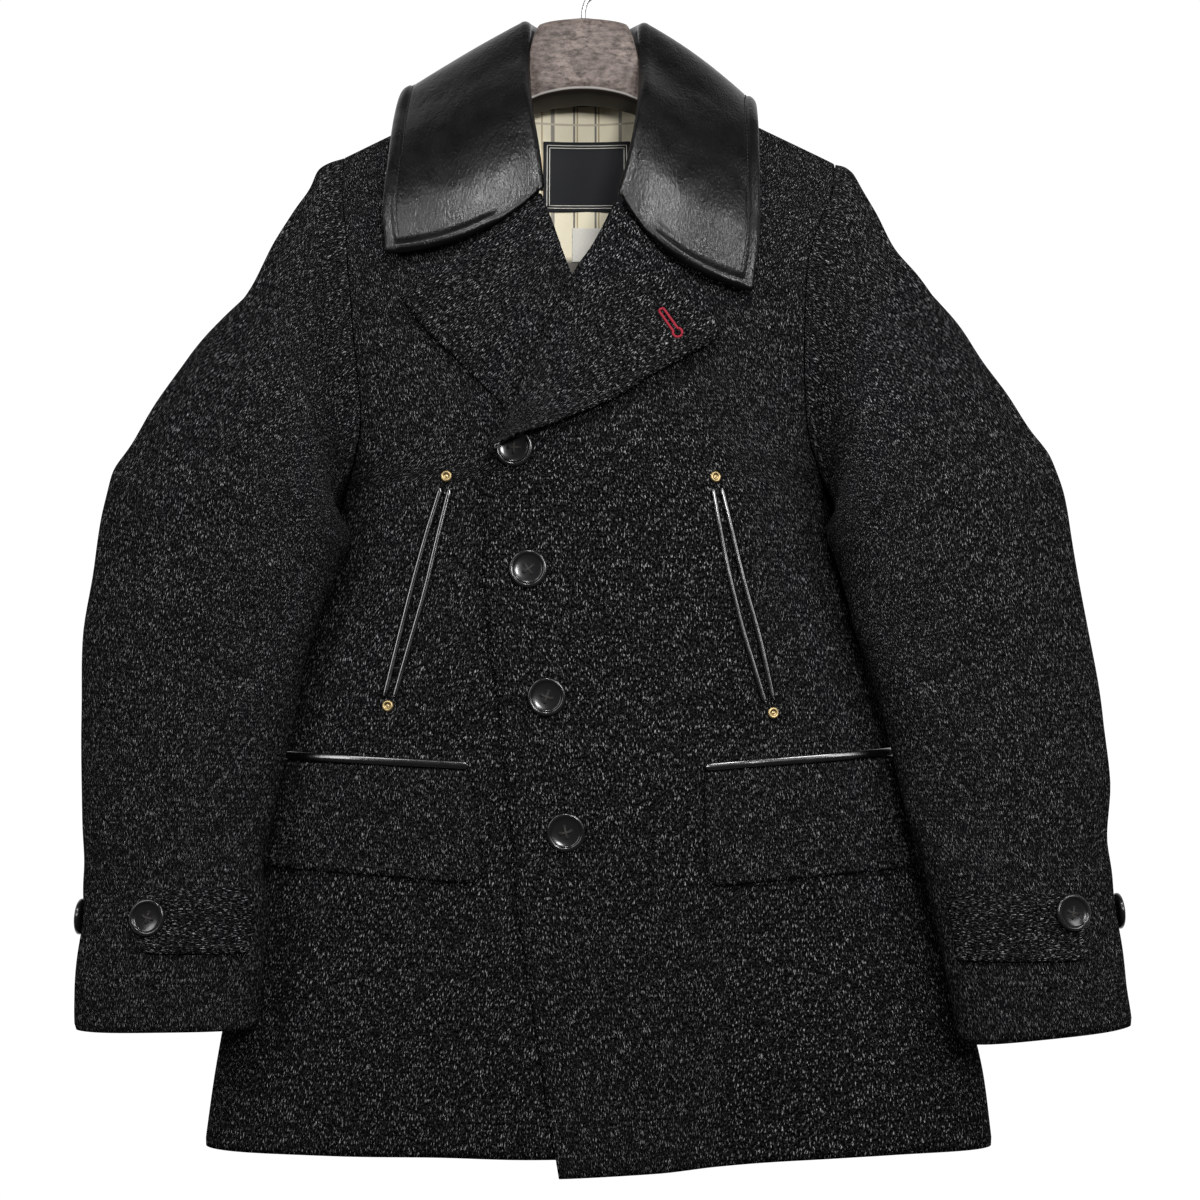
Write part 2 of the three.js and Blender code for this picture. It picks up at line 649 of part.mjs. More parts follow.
// Across a lapel: inside the front, round the roll line, then out over the front.
// Each column is a distance inward from the roll, and depths of the two faces.
function lapelGeometry(side) {
  const lapel = LAPELS[side];
  const rollEdge = side === RIGHT_OF_VIEW ? OVERLAP_EDGE : UNDERLAP_EDGE;
  const outer = [];
  const inner = [];
  for (const share of LAPEL_PLACES) {
    const level = mix(lapel.rollTop, lapel.rollEnd, share);
    const roll = new THREE.Vector2(rollEdge.at(level).x, SHOULDER_TOP - level);
    const edge = lapel.edge.at(share);
    const across = new THREE.Vector2(edge.x, edge.z).sub(roll);
    const reach = across.length();
    across.normalize();
    const faces = (thick) => {
      const radius = ROLL_RADIUS - thick;
      const place = (inward, depth) => {
        const spot = roll.clone().addScaledVector(across, ROLL_RADIUS + inward);
        return frontPoint(side, spot.x, spot.y, depth);
      };
      const middle = -CLOTH / 2;
      const points = [1, 0.5].map((portion) => (
        place(portion * FACING_INSIDE, middle - radius - portion * FACING_EASE)));
      for (const turn of [-90, -45, 0, 45, 90]) {
        const angle = THREE.MathUtils.degToRad(turn);
        points.push(place(-radius * Math.cos(angle), middle + radius * Math.sin(angle)));
      }
      for (const portion of LAPEL_SHARES) {
        const lifted = OVER_EASE + edge.lift * portion ** mix(TOP_CURL, BREAK_CURL, share);
        points.push(place(portion * (reach - ROLL_RADIUS), middle + radius + lifted));
      }
      return points;
    };
    outer.push(faces(0));
    inner.push(faces(CLOTH));
  }
  return wallGeometry(outer, inner);
}

// Collar, from its front end on the left of the view round the neck to the other:
// the fold at its top, the middle of its fall, and its free edge
const COLLAR = new Sections('foldX foldY foldZ midX midY midZ edgeX edgeY edgeZ', [
  [-29, -60, -223, -69, -68, -255, -143, -66, -274],
  [-33, -54, -191, -82, -64, -224, -147, -58, -235],
  [-39, -42, -152, -91, -50, -181, -145, -44, -194],
  [-43, -20, -107, -96, -28, -138, -144, -20, -155],
  [-43, 5, -67, -92, 3, -94, -138, 5, -124],
  [-36, 28, -62, -70, 34, -90, -112, 42, -138],
  [-19, 41, -66, -38, 52, -92, -60, 60, -142],
  [-1, 45, -68, -1, 57, -94, -1, 64, -144],
  [18, 41, -66, 37, 52, -92, 60, 60, -142],
  [37, 28, -62, 70, 34, -90, 112, 42, -138],
  [45, 5, -68, 91, 3, -97, 132, 5, -134],
  [45, -20, -109, 97, -28, -146, 133, -26, -159],
  [42, -42, -152, 92, -50, -191, 132, -44, -209],
  [36, -54, -191, 79, -66, -236, 130, -60, -258],
  [27, -60, -227, 57, -70, -269, 123, -72, -304],
]);
const COLLAR_ROWS = 14;
const FOLD_RADIUS = 4; // middle of the leather where the collar folds over
const FALL_CLEARANCE = 3.6; // from the front's cloth to the middle of the leather
const NECK_CLEARANCE = 2.4; // between the collar stand and the cut edge of the neck
const BORDER_WIDTH = 9; // puffed border inside the collar's edge stitching
const BORDER_RISE = 1.6;
const BORDER_START = [2.3, 2.45]; // across the collar, where the end borders come in
const FALL_SETTLE = [0.15, 0.5]; // of the fall, over which it comes clear of the front
const LEAST_FACING = 0.4; // of the front's normal along Y, where a clearance is measured
const TOP_ROW_END = 0.01; // rows above the front, where there is no cloth to clear
const NORMAL_STEP = 0.01; // of a row, across which the collar's normal is measured

// The neck seam below each row of the collar: levels down the fronts, then x on the back
const NECK_SEAM = new Sections('row level x', [
  [0, 100, -31], [1, 72, -50], [2, 45, -61], [3, 18, -66.5], [4, 0, -68], [5, 0, -55],
  [6, 0, -30], [7, 0, 0], [8, 0, 30], [9, 0, 55], [10, 0, 68], [11, 18, 66.5],
  [12, 45, 60], [13, 72, 47.5], [14, 103, 27],
]);
const FRONT_NECK_ROWS = 4;

function neckPoint(row, fold) {
  const seam = NECK_SEAM.at(row);
  const onBack = row > FRONT_NECK_ROWS && row < COLLAR_ROWS - FRONT_NECK_ROWS;
  const face = onBack ? BACK : FRONT;
  const place = onBack
    ? { row: backTopRow(seam.x), angle: bodyAngle(backTopRow(seam.x), seam.x) }
    : bodyPlace(FRONT, seam.x, SHOULDER_TOP - seam.level);
  const point = bodyPoint(face, place.row, place.angle);
  point.addScaledVector(bodyNormal(face, place.row, place.angle), -CLOTH / 2);
  return point.add(fold.clone().sub(point).setLength(NECK_CLEARANCE));
}

// Moves a point of the collar's fall forward, off the front
function clearOfFront(point, clearance) {
  if (point.y > 0) return;
  const place = bodyPlace(FRONT, point.x, point.z);
  if (place.row < TOP_ROW_END) return;
  const cloth = bodyPoint(FRONT, place.row, place.angle);
  const facing = Math.max(LEAST_FACING, -bodyNormal(FRONT, place.row, place.angle).y);
  point.y = Math.min(point.y, cloth.y - clearance / facing);
}

// Middle of the collar's leather; across runs 0 to 1 up the stand, 1 to 2 round the fold
// and 2 to 3 down the fall
function collarPoint(row, across) {
  const line = COLLAR.atRow(row);
  const fold = vector(line.foldX, line.foldY, line.foldZ);
  const middle = vector(line.midX, line.midY, line.midZ);
  const edge = vector(line.edgeX, line.edgeY, line.edgeZ);
  const neck = neckPoint(row, fold);
  const toFall = middle.clone().sub(fold).normalize();
  const down = neck.clone().sub(fold).normalize().add(toFall).normalize();
  const outward = toFall.clone().addScaledVector(down, -toFall.dot(down)).normalize();
  const centre = fold.clone().addScaledVector(down, FOLD_RADIUS);
  if (across < 1) {
    const top = centre.clone().addScaledVector(outward, -FOLD_RADIUS);
    return neck.lerp(top, across);
  }
  if (across < 2) {
    const turn = (across - 1) * Math.PI;
    return centre.addScaledVector(outward, -FOLD_RADIUS * Math.cos(turn))
      .addScaledVector(down, -FOLD_RADIUS * Math.sin(turn));
  }
  const start = centre.addScaledVector(outward, FOLD_RADIUS);
  const t = across - 2;
  const upper = start.distanceTo(middle);
  const passing = upper / (upper + middle.distanceTo(edge));
  const pull = middle.clone().addScaledVector(start, -((1 - passing) ** 2))
    .addScaledVector(edge, -(passing ** 2)).divideScalar(2 * passing * (1 - passing));
  const point = start.multiplyScalar((1 - t) ** 2).addScaledVector(pull, 2 * t * (1 - t))
    .addScaledVector(edge, t * t);
  clearOfFront(point, FALL_CLEARANCE * smoothStep(...FALL_SETTLE, t));
  return point;
}

function collarNormal(row, across) {
  const along = collarPoint(clamp(row + NORMAL_STEP, 0, COLLAR_ROWS), across)
    .sub(collarPoint(clamp(row - NORMAL_STEP, 0, COLLAR_ROWS), across));
  const over = collarPoint(row, clamp(across + NORMAL_STEP, 0, 3))
    .sub(collarPoint(row, clamp(across - NORMAL_STEP, 0, 3)));
  return over.cross(along).normalize();
}

// Height of the puffed border at a place on the fall, from its distances to the edges
function borderRise(row, across) {
  if (across <= 2) return 0;
  const point = collarPoint(row, across);
  const toEdge = point.distanceTo(collarPoint(row, 3));
  const end = row < COLLAR_ROWS / 2 ? 0 : COLLAR_ROWS;
  const free = smoothStep(...BORDER_START, across);
  const toEnd = point.distanceTo(collarPoint(end, across));
  const puff = (distance) => Math.max(0, 1 - (2 * distance / BORDER_WIDTH - 1) ** 2);
  return BORDER_RISE * Math.max(puff(toEdge), free * puff(toEnd));
}

const COLLAR_PLACES = [0, 0.13, 0.27, 0.7, 1.3, 2, 2.7, 3.3, 4, 4.7, 5.5, 6.2, 7, 7.8, 8.5, 9.3,
  10, 10.7, 11.3, 12, 12.7, 13.3, 13.73, 13.87, 14];
const COLLAR_ACROSS = [0, 0.5, 1, 1.25, 1.5, 1.75, 2, 2.2, 2.42, 2.64, 2.84, 2.9, 2.95, 3];

function collarGeometry() {
  const outer = [];
  const inner = [];
  for (const row of COLLAR_PLACES) {
    const outerRow = [];
    const innerRow = [];
    for (const across of COLLAR_ACROSS) {
      const point = collarPoint(row, across);
      const normal = collarNormal(row, across);
      const rise = LEATHER / 2 + borderRise(row, across);
      outerRow.push(point.clone().addScaledVector(normal, rise));
      innerRow.push(point.clone().addScaledVector(normal, -LEATHER / 2));
    }
    outer.push(outerRow);
    inner.push(innerRow);
  }
  return wallGeometry(outer, inner);
}

// Flap pockets: inner edge, its top and bottom, and the outer edge hidden by the sleeve
const FLAPS = {
  [LEFT_OF_VIEW]: {
    innerTop: [-79, -650], innerBottom: [-70, -728.5], outerTop: [-215, -642.5],
    outerBottom: [-227, -717],
  },
  [RIGHT_OF_VIEW]: {
    innerTop: [86, -651], innerBottom: [88, -730.5], outerTop: [227, -640],
    outerBottom: [243, -717.5],
  },
};
const FLAP_CORNER = 11;
const FLAP_LIFT = 1; // more room below the flap where the front curves away
const JET_HEIGHT = 7;
const JET_RISE = 3;

function flapCorner(side, across, down) {
  const flap = FLAPS[side];
  const place = (i) => mix(
    mix(flap.innerTop[i], flap.outerTop[i], across),
    mix(flap.innerBottom[i], flap.outerBottom[i], across),
    down,
  );
  return { x: place(0), z: place(1) };
}

function flapGeometry(side) {
  const rule = (down, across) => {
    const { x, z } = flapCorner(side, across, down);
    const width = Math.abs(FLAPS[side].outerBottom[0] - FLAPS[side].innerBottom[0]);
    const toCorner = Math.max(0, FLAP_CORNER - across * width);
    const rounding = FLAP_CORNER - Math.sqrt(FLAP_CORNER ** 2 - toCorner ** 2);
    const low = LAYER_GAP + FLAP_LIFT * across ** 2;
    return { x, z: z + rounding * down, low, high: low + CLOTH };
  };
  const columns = [0, 0.01, 0.03, 0.07, ...spread(12, 0.16, 1)];
  return frontPatch(side, [0, 0.25, 0.5, 0.75, 1], columns, rule);
}

const JET_TAPER = 0.7; // the jet's height at its inner end, as a share of its full height
const STRIP_EDGE = 0.5; // thickness of a leather strip at its edges

// Leather jet along the top of a flap pocket, domed and a little narrower inward
function jetGeometry(side) {
  const rule = (up, across) => {
    const { x, z } = flapCorner(side, across, 0);
    const height = mix(JET_HEIGHT * JET_TAPER, JET_HEIGHT, across);
    const dome = Math.sqrt(Math.max(0, 1 - (2 * up - 1) ** 2));
    const high = LAYER_GAP + STRIP_EDGE + JET_RISE * dome;
    return { x, z: z + SEAM_GAP + up * height, low: LAYER_GAP, high };
  };
  return frontPatch(side, [0, 0.15, 0.5, 0.85, 1], spread(14), rule);
}

// Leather lips of the slanted pockets, from top to bottom, on each side of the slit
const WELTS = {
  [LEFT_OF_VIEW]: {
    outer: new Sections('share x z', [[0, -100.7, -447], [0.5, -122, -521.5], [1, -140.3, -597]]),
    inner: new Sections('share x z', [[0, -94.3, -448], [0.5, -111.5, -521.5], [1, -133.2, -598]]),
    rivets: [[-97.2, -439], [-138, -603.5]],
  },
  [RIGHT_OF_VIEW]: {
    inner: new Sections('share x z', [[0, 93.2, -448], [0.4, 104, -507], [0.65, 114, -548],
      [1, 130.4, -602]]),
    outer: new Sections('share x z', [[0, 99.6, -447], [0.45, 116.5, -519], [0.7, 127, -556],
      [1, 136.4, -599.5]]),
    rivets: [[95.2, -440], [136.3, -608.5]],
  },
};
const LIP_WIDTH = 4.6;
const LIP_RISE = 2;

function lipGeometry(side, lip) {
  const rule = (share, across) => {
    const { x, z } = lip.at(share);
    const dome = Math.sqrt(Math.max(0, 1 - (2 * across - 1) ** 2));
    const offset = (across - 0.5) * LIP_WIDTH;
    return { x: x + offset, z, low: LAYER_GAP, high: LAYER_GAP + STRIP_EDGE + LIP_RISE * dome };
  };
  return frontPatch(side, spread(9), [0, 0.2, 0.5, 0.8, 1], rule);
}

// Turned shapes, as radius and height above the cloth, closed on the axis
const BUTTON_PROFILE = [[0, 0], [0.8, 0], [1, 0.35], [0.98, 0.8], [0.9, 1], [0.76, 0.78],
  [0.4, 0.56], [0, 0.52]];
const RIVET_PROFILE = [[0, 0], [1, 0], [0.98, 0.5], [0.75, 1], [0.45, 0.9], [0.3, 0.35], [0, 0.3]];
const BUTTON_RADIUS = 13.7;
const CUFF_BUTTON_RADIUS = 12.7;
const BUTTON_THICKNESS = 3.6;
const RIVET_RADIUS = 4.2;
const RIVET_HEIGHT = 1.8;

function turnedGeometry(profile, radius, height, sides) {
  const points = profile.map(([r, h]) => new THREE.Vector2(r * radius, h * height));
  return new THREE.LatheGeometry(points, sides);
}

// Seats a turned piece on a point with its axis along the normal
function seat(mesh, point, normal) {
  mesh.position.copy(point);
  mesh.quaternion.setFromUnitVectors(vector(0, 1, 0), normal);
  return mesh;
}

const FRONT_BUTTONS = [[-47.8, -420.8], [-37.7, -507], [-24.4, -597.5], [-10.9, -692]];

// Cuff straps: rows of the sleeve that they cover, the angle of the tip, and the places of
// the button by the tip and of the one on the outer edge
const CUFFS = {
  [LEFT_OF_VIEW]: {
    top: 17.45, bottom: 19.15, tip: 1.28, button: [18.2, 1.46], edgeButton: [18.3, 0],
  },
  [RIGHT_OF_VIEW]: {
    top: 18.22, bottom: 19.57, tip: 1.0, button: [18.62, 1.25], edgeButton: [18.65, 0],
  },
};
const STRAP_START = 2.6; // the angle on the sleeve at which a cuff strap leaves the front seam
const STRAP_TIP_SHARE = 0.28; // of its length, over which the strap rounds into its tip
const STRAP_TIP_POWER = 2.4;
const STRAP_TIP_BLUNTNESS = 0.06;

function sleeveSpot(side, row, angle, outward) {
  return sleevePoint(side, row, angle).addScaledVector(sleeveNormal(side, row, angle), outward);
}

function strapGeometry(side) {
  const cuff = CUFFS[side];
  const outer = [];
  const inner = [];
  for (const along of [0, 0.15, 0.3, 0.45, 0.6, 0.72, 0.82, 0.9, 0.96, 1]) {
    const nearTip = clamp((along - 1 + STRAP_TIP_SHARE) / STRAP_TIP_SHARE, 0, 1);
    const half = Math.sqrt(Math.max(STRAP_TIP_BLUNTNESS, 1 - nearTip ** STRAP_TIP_POWER)) / 2;
    const places = [-1, -0.5, 0, 0.5, 1].map((up) => [
      mix(cuff.top, cuff.bottom, 0.5 + up * half), mix(STRAP_START, cuff.tip, along)]);
    outer.push(places.map(([row, angle]) => sleeveSpot(side, row, angle, LAYER_GAP + CLOTH)));
    inner.push(places.map(([row, angle]) => sleeveSpot(side, row, angle, LAYER_GAP)));
  }
  return wallGeometry(outer, inner);
}

// Lining and labels inside the back of the neck: corners, and distance in from the back
const LINING_WALL = 1;
const LINING = { left: -54, right: 56, top: -132, bottom: -300, depth: CLOTH + 2 * LAYER_GAP };
const MAKER_PATCH = {
  left: -32.5, right: 37.7, top: -152, bottom: -207.5, depth: LINING.depth + LINING_WALL + 0.4,
};
const CARE_PATCH = { left: -9.3, right: 24, top: -220, bottom: -247, depth: MAKER_PATCH.depth };

function backPatch(patch, thickness, rows, columns) {
  const outer = [];
  const inner = [];
  for (const down of spread(rows)) {
    const places = spread(columns).map((across) => {
      const x = mix(patch.left, patch.right, across);
      const z = mix(patch.top, patch.bottom, down);
      const place = bodyPlace(BACK, x, z);
      return { place, normal: bodyNormal(BACK, place.row, place.angle) };
    });
    const at = (depth) => places.map(({ place, normal }) => (
      bodyPoint(BACK, place.row, place.angle).addScaledVector(normal, -depth)));
    outer.push(at(patch.depth));
    inner.push(at(patch.depth + thickness));
  }
  return wallGeometry(outer, inner);
}

// Hanger: sections along x with its top, bottom and half thickness
const HANGER = new Sections('x top bottom half', [
  [0, -70, -130, 20], [20, -72, -132, 20], [33, -77, -135.5, 19.5], [39, -88, -138, 17.5],
  [44, -107, -140.5, 16], [54, -125, -146, 15], [68, -131, -153, 15.5], [110, -148, -172, 17],
  [150, -168, -190, 17.5], [168, -177, -198, 17.5], [176, -183, -200, 12],
]);
const HANGER_PLACES = [0, 20, 33, 39, 44, 54, 68, 110, 150, 168, 176];
const HANGER_SIDES = 14;
const HANGER_SQUARE = 2.6;

function hangerGeometry() {
  const rings = [];
  const places = [...HANGER_PLACES.slice(1).reverse().map((x) => -x), ...HANGER_PLACES];
  for (const x of places) {
    const section = HANGER.at(Math.abs(x));
    const middle = (section.top + section.bottom) / 2;
    const tall = (section.top - section.bottom) / 2;
    rings.push(spread(HANGER_SIDES + 1).slice(0, HANGER_SIDES).map((share) => {
      const angle = share * 2 * Math.PI;
      const y = section.half * signedPower(Math.sin(angle), 2 / HANGER_SQUARE);
      const z = middle + tall * signedPower(Math.cos(angle), 2 / HANGER_SQUARE);
      return vector(x, y, z);
    }));
  }
  return ringsGeometry(rings);
}

// Closed body through rings of points, with a fan at each end
function ringsGeometry(rings) {
  const sides = rings[0].length;
  const positions = rings.flat().flatMap((point) => [point.x, point.y, point.z]);
  const faces = [];
  for (let r = 0; r < rings.length - 1; r += 1) {
    for (let i = 0; i < sides; i += 1) {
      const next = (i + 1) % sides;
      const a = r * sides + i;
      const b = r * sides + next;
      faces.push(a, b, b + sides, a, b + sides, a + sides);
    }
  }
  for (const [start, ring] of [[0, rings[0]], [(rings.length - 1) * sides, rings.at(-1)]]) {
    const centre = ring.reduce((sum, point) => sum.add(point), vector(0, 0, 0)).divideScalar(sides);
    positions.push(centre.x, centre.y, centre.z);
    const hub = positions.length / 3 - 1;
    for (let i = 0; i < sides; i += 1) {
      const next = (i + 1) % sides;
      if (start === 0) faces.push(hub, start + next, start + i);
      else faces.push(hub, start + i, start + next);
    }
  }
  const geometry = new THREE.BufferGeometry();
  geometry.setAttribute('position', new THREE.Float32BufferAttribute(positions, 3));
  geometry.setIndex(faces);
  if (signedVolume(geometry) < 0) turnFaces(geometry);
  geometry.computeVertexNormals();
  return geometry;
}

const HOOK_WIRE = 4;
const HOOK_RADIUS = 22; // middle of the wire round the crook
const HOOK_FOOT = -69.4;

// Hook: a shank up from the hanger, swung aside into a crook over the rail
function hookGeometry() {
  const crookCentre = HOOK_WIRE / 2 - HOOK_RADIUS;
  const points = [vector(0, 0, HOOK_FOOT), vector(0, 0, HOOK_FOOT + 8), vector(2, 0, -52),
    vector(11, 0, -43)];
  for (const turn of [-35, -5, 25, 55, 90, 125, 155, 185, 210]) {
    const angle = THREE.MathUtils.degToRad(turn);
    points.push(vector(HOOK_RADIUS * Math.cos(angle), 0, crookCentre + HOOK_RADIUS * Math.sin(angle)));
  }
  const path = new THREE.CatmullRomCurve3(points, false, 'centripetal');
  const section = new THREE.Shape();
  section.absarc(0, 0, HOOK_WIRE / 2, 0, 2 * Math.PI);
  return new THREE.ExtrudeGeometry(section, {
    extrudePath: path, steps: 30, curveSegments: 4, bevelEnabled: false,
  });
}

function piece(name, geometry, material) {
  const mesh = new THREE.Mesh(geometry, material);
  mesh.name = name;
  return mesh;
}

const finish = (color, roughness, metalness = 0) => new THREE.MeshStandardMaterial(
  { color, roughness, metalness },
);
const tweed = finish(0x222226, 0.95);
const leather = finish(0x0b0b0c, 0.35);
const horn = finish(0x0a0a0a, 0.2);
const brass = finish(0xb08a3c, 0.35, 1);
const liningCloth = finish(0xe0d4ae, 0.8);
const blackLabel = finish(0x0d0e12, 0.8);
const whiteLabel = finish(0xf2efe6, 0.8);
const hangerShell = finish(0x6b5f57, 0.5);
const steel = finish(0xc6c8ca, 0.25, 1);

const coat = new THREE.Group();
coat.add(piece('front_overlap', frontGeometry(RIGHT_OF_VIEW), tweed));
coat.add(piece('front_underlap', frontGeometry(LEFT_OF_VIEW), tweed));
coat.add(piece('back_body', backGeometry(), tweed));
coat.add(piece('collar', collarGeometry(), leather));
coat.add(piece('back_neck_lining', backPatch(LINING, LINING_WALL, 8, 9), liningCloth));
coat.add(piece('neck_label', backPatch(MAKER_PATCH, 0.8, 3, 5), blackLabel));
coat.add(piece('care_label', backPatch(CARE_PATCH, 0.5, 3, 3), whiteLabel));
coat.add(piece('hanger', hangerGeometry(), hangerShell));
coat.add(piece('hanger_hook', hookGeometry(), steel));

for (const [side, label] of [[LEFT_OF_VIEW, 'right'], [RIGHT_OF_VIEW, 'left']]) {
  coat.add(piece(`top_sleeve_${label}`, topSleeveGeometry(side), tweed));
  coat.add(piece(`under_sleeve_${label}`, underSleeveGeometry(side), tweed));
  coat.add(piece(`lapel_${label}`, lapelGeometry(side), tweed));
  coat.add(piece(`flap_${label}`, flapGeometry(side), tweed));
  coat.add(piece(`flap_jet_${label}`, jetGeometry(side), leather));
  coat.add(piece(`pocket_lip_outer_${label}`, lipGeometry(side, WELTS[side].outer), leather));
  coat.add(piece(`pocket_lip_inner_${label}`, lipGeometry(side, WELTS[side].inner), leather));
  WELTS[side].rivets.forEach(([x, z], index) => {
    const geometry = turnedGeometry(RIVET_PROFILE, RIVET_RADIUS, RIVET_HEIGHT, 10);
    const mesh = piece(`rivet_${label}_${index + 1}`, geometry, brass);
    coat.add(seat(mesh, frontPoint(side, x, z, LAYER_GAP), frontNormal(side, x, z)));
  });
  coat.add(piece(`cuff_strap_${label}`, strapGeometry(side), tweed));
  const { button, edgeButton } = CUFFS[side];
  const cuffButtons = [[button, 2 * LAYER_GAP + CLOTH], [edgeButton, LAYER_GAP]];
  cuffButtons.forEach(([[row, angle], outward], index) => {
    const geometry = turnedGeometry(BUTTON_PROFILE, CUFF_BUTTON_RADIUS, BUTTON_THICKNESS, 16);
    const mesh = piece(`cuff_button_${label}_${index + 1}`, geometry, horn);
    coat.add(seat(mesh, sleeveSpot(side, row, angle, outward), sleeveNormal(side, row, angle)));
  });
}

FRONT_BUTTONS.forEach(([x, z], index) => {
  const geometry = turnedGeometry(BUTTON_PROFILE, BUTTON_RADIUS, BUTTON_THICKNESS, 16);
  const mesh = piece(`front_button_${index + 1}`, geometry, horn);
  coat.add(seat(mesh, frontPoint(RIGHT_OF_VIEW, x, z, LAYER_GAP), frontNormal(RIGHT_OF_VIEW, x, z)));
});

export default coat;
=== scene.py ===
# Pea coat on a broad-shouldered coat hanger, against white.
# Sizes are in millimetres until a mesh is made. The front faces -Y, and +X is the
# wearer's left. The cloth follows the same sections as the CAD solids, more finely.
import json
import math

import bpy
import numpy as np
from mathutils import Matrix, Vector

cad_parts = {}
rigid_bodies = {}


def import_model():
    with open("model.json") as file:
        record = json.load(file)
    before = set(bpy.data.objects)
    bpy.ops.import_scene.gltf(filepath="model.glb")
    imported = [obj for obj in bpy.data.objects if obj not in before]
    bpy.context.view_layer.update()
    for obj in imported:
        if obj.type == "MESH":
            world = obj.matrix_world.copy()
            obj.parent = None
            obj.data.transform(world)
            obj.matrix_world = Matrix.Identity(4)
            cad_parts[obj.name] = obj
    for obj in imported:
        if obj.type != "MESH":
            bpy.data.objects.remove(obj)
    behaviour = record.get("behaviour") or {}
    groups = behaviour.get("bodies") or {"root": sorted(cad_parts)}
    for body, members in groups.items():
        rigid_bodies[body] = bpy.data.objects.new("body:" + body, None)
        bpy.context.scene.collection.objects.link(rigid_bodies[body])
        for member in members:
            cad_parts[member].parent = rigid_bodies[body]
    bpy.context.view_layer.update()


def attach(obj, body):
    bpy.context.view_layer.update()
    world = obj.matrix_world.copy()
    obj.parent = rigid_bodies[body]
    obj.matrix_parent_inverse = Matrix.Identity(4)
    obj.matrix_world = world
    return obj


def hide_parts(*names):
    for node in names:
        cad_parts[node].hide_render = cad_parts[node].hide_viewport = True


MM = 0.001

# Driving sizes, as in the solids
CLOTH = 2.6
LEATHER = 2.8
SHOULDER_TOP = -122
SHOULDER_SLOPE = 0.5
NECK_HALF = 68
SLOPE_FADE = 200
UNDERARM_ROW = 13
HEM_ROW = 23
NECK_ROW = 5
FLY_HEM_DROP = 12
RIGHT_ANGLE = math.pi / 2
FRONT = -1
BACK = 1
LEFT_OF_VIEW = -1
RIGHT_OF_VIEW = 1
LIFT_START = 14
LIFT_END = 54
ROLL_ALLOWANCE = 5.6
SEAM_GAP = 0.3
BUTTON_THICKNESS = 3.6

# Steps in rows or radians for the slope of the body and of the sleeves, and the number of
# times that a search for a row halves its range
NORMAL_STEP = 0.01
SLEEVE_NORMAL_STEP = 0.02
HALVINGS = 24


def mix(a, b, share):
    return a + (b - a) * share


def smooth_step(start, end, value):
    share = np.clip((value - start) / (end - start), 0, 1)
    return share * share * (3 - 2 * share)


def signed_power(value, power):
    return np.sign(value) * np.abs(value) ** power


def bell(distance, width):
    return np.exp(-((distance / width) ** 2))


def stack(x, y, z):
    return np.stack(np.broadcast_arrays(x, y, z), axis=-1).astype(float)


def unit(vectors):
    length = np.linalg.norm(vectors, axis=-1, keepdims=True)
    return vectors / np.maximum(length, 1e-9)


def rows_and_columns(down, across):
    """Two lists as the rows and the columns of one grid."""
    return np.broadcast_arrays(down[:, None], across[None, :])


def reach_along(line):
    """The distance along a line from its start to each of its points."""
    return np.concatenate([[0], np.cumsum(np.linalg.norm(np.diff(line, axis=0), axis=1))])


def read_along(line, places):
    """Points of a line at given distances from its start."""
    reach = reach_along(line)
    return np.stack([np.interp(places, reach, column) for column in line.T], axis=1)


def ripple(waves, a, b):
    """Adds up waves, each a height, its rates along two ways, and a shift."""
    return sum(height * np.sin(a * rate + b * other + shift) for height, rate, other, shift in waves)


def row_at(height, last_row, height_of):
    """The row, by halving, at which a surface that falls from row to row has a height."""
    low = np.zeros(height.shape)
    high = np.full(height.shape, float(last_row))
    for _ in range(HALVINGS):
        middle = (low + high) / 2
        above = height_of(middle) > height
        low = np.where(above, middle, low)
        high = np.where(above, high, middle)
    return low


class Sections:
    """A table whose named columns are read smoothly between its rows."""

    def __init__(self, names, rows):
        self.names = names.split()
        self.rows = np.array(rows, float)

    def read(self, keys, key):
        rises = np.diff(self.rows, axis=0) / np.diff(keys)[:, None]
        before = rises[:-1]
        after = rises[1:]
        total = np.where(before + after == 0, 1, before + after)
        inner = np.where(before * after > 0, 2 * before * after / total, 0)
        slopes = np.concatenate([rises[:1], inner, rises[-1:]])
        place = np.clip(key, keys[0], keys[-1])
        index = np.clip(np.searchsorted(keys, place, side="right") - 1, 0, len(keys) - 2)
        span = (keys[index + 1] - keys[index])[..., None]
        t = (place - keys[index])[..., None] / span
        values = (
            self.rows[index] * (1 + 2 * t) * (1 - t) ** 2
            + slopes[index] * span * t * (1 - t) ** 2
            + self.rows[index + 1] * t * t * (3 - 2 * t)
            + slopes[index + 1] * span * t * t * (t - 1)
        )
        return {name: values[..., i] for i, name in enumerate(self.names)}

    def at_row(self, row):
        return self.read(np.arange(len(self.rows), dtype=float), np.asarray(row, float))

    def at(self, key):
        return self.read(self.rows[:, 0], np.asarray(key, float))


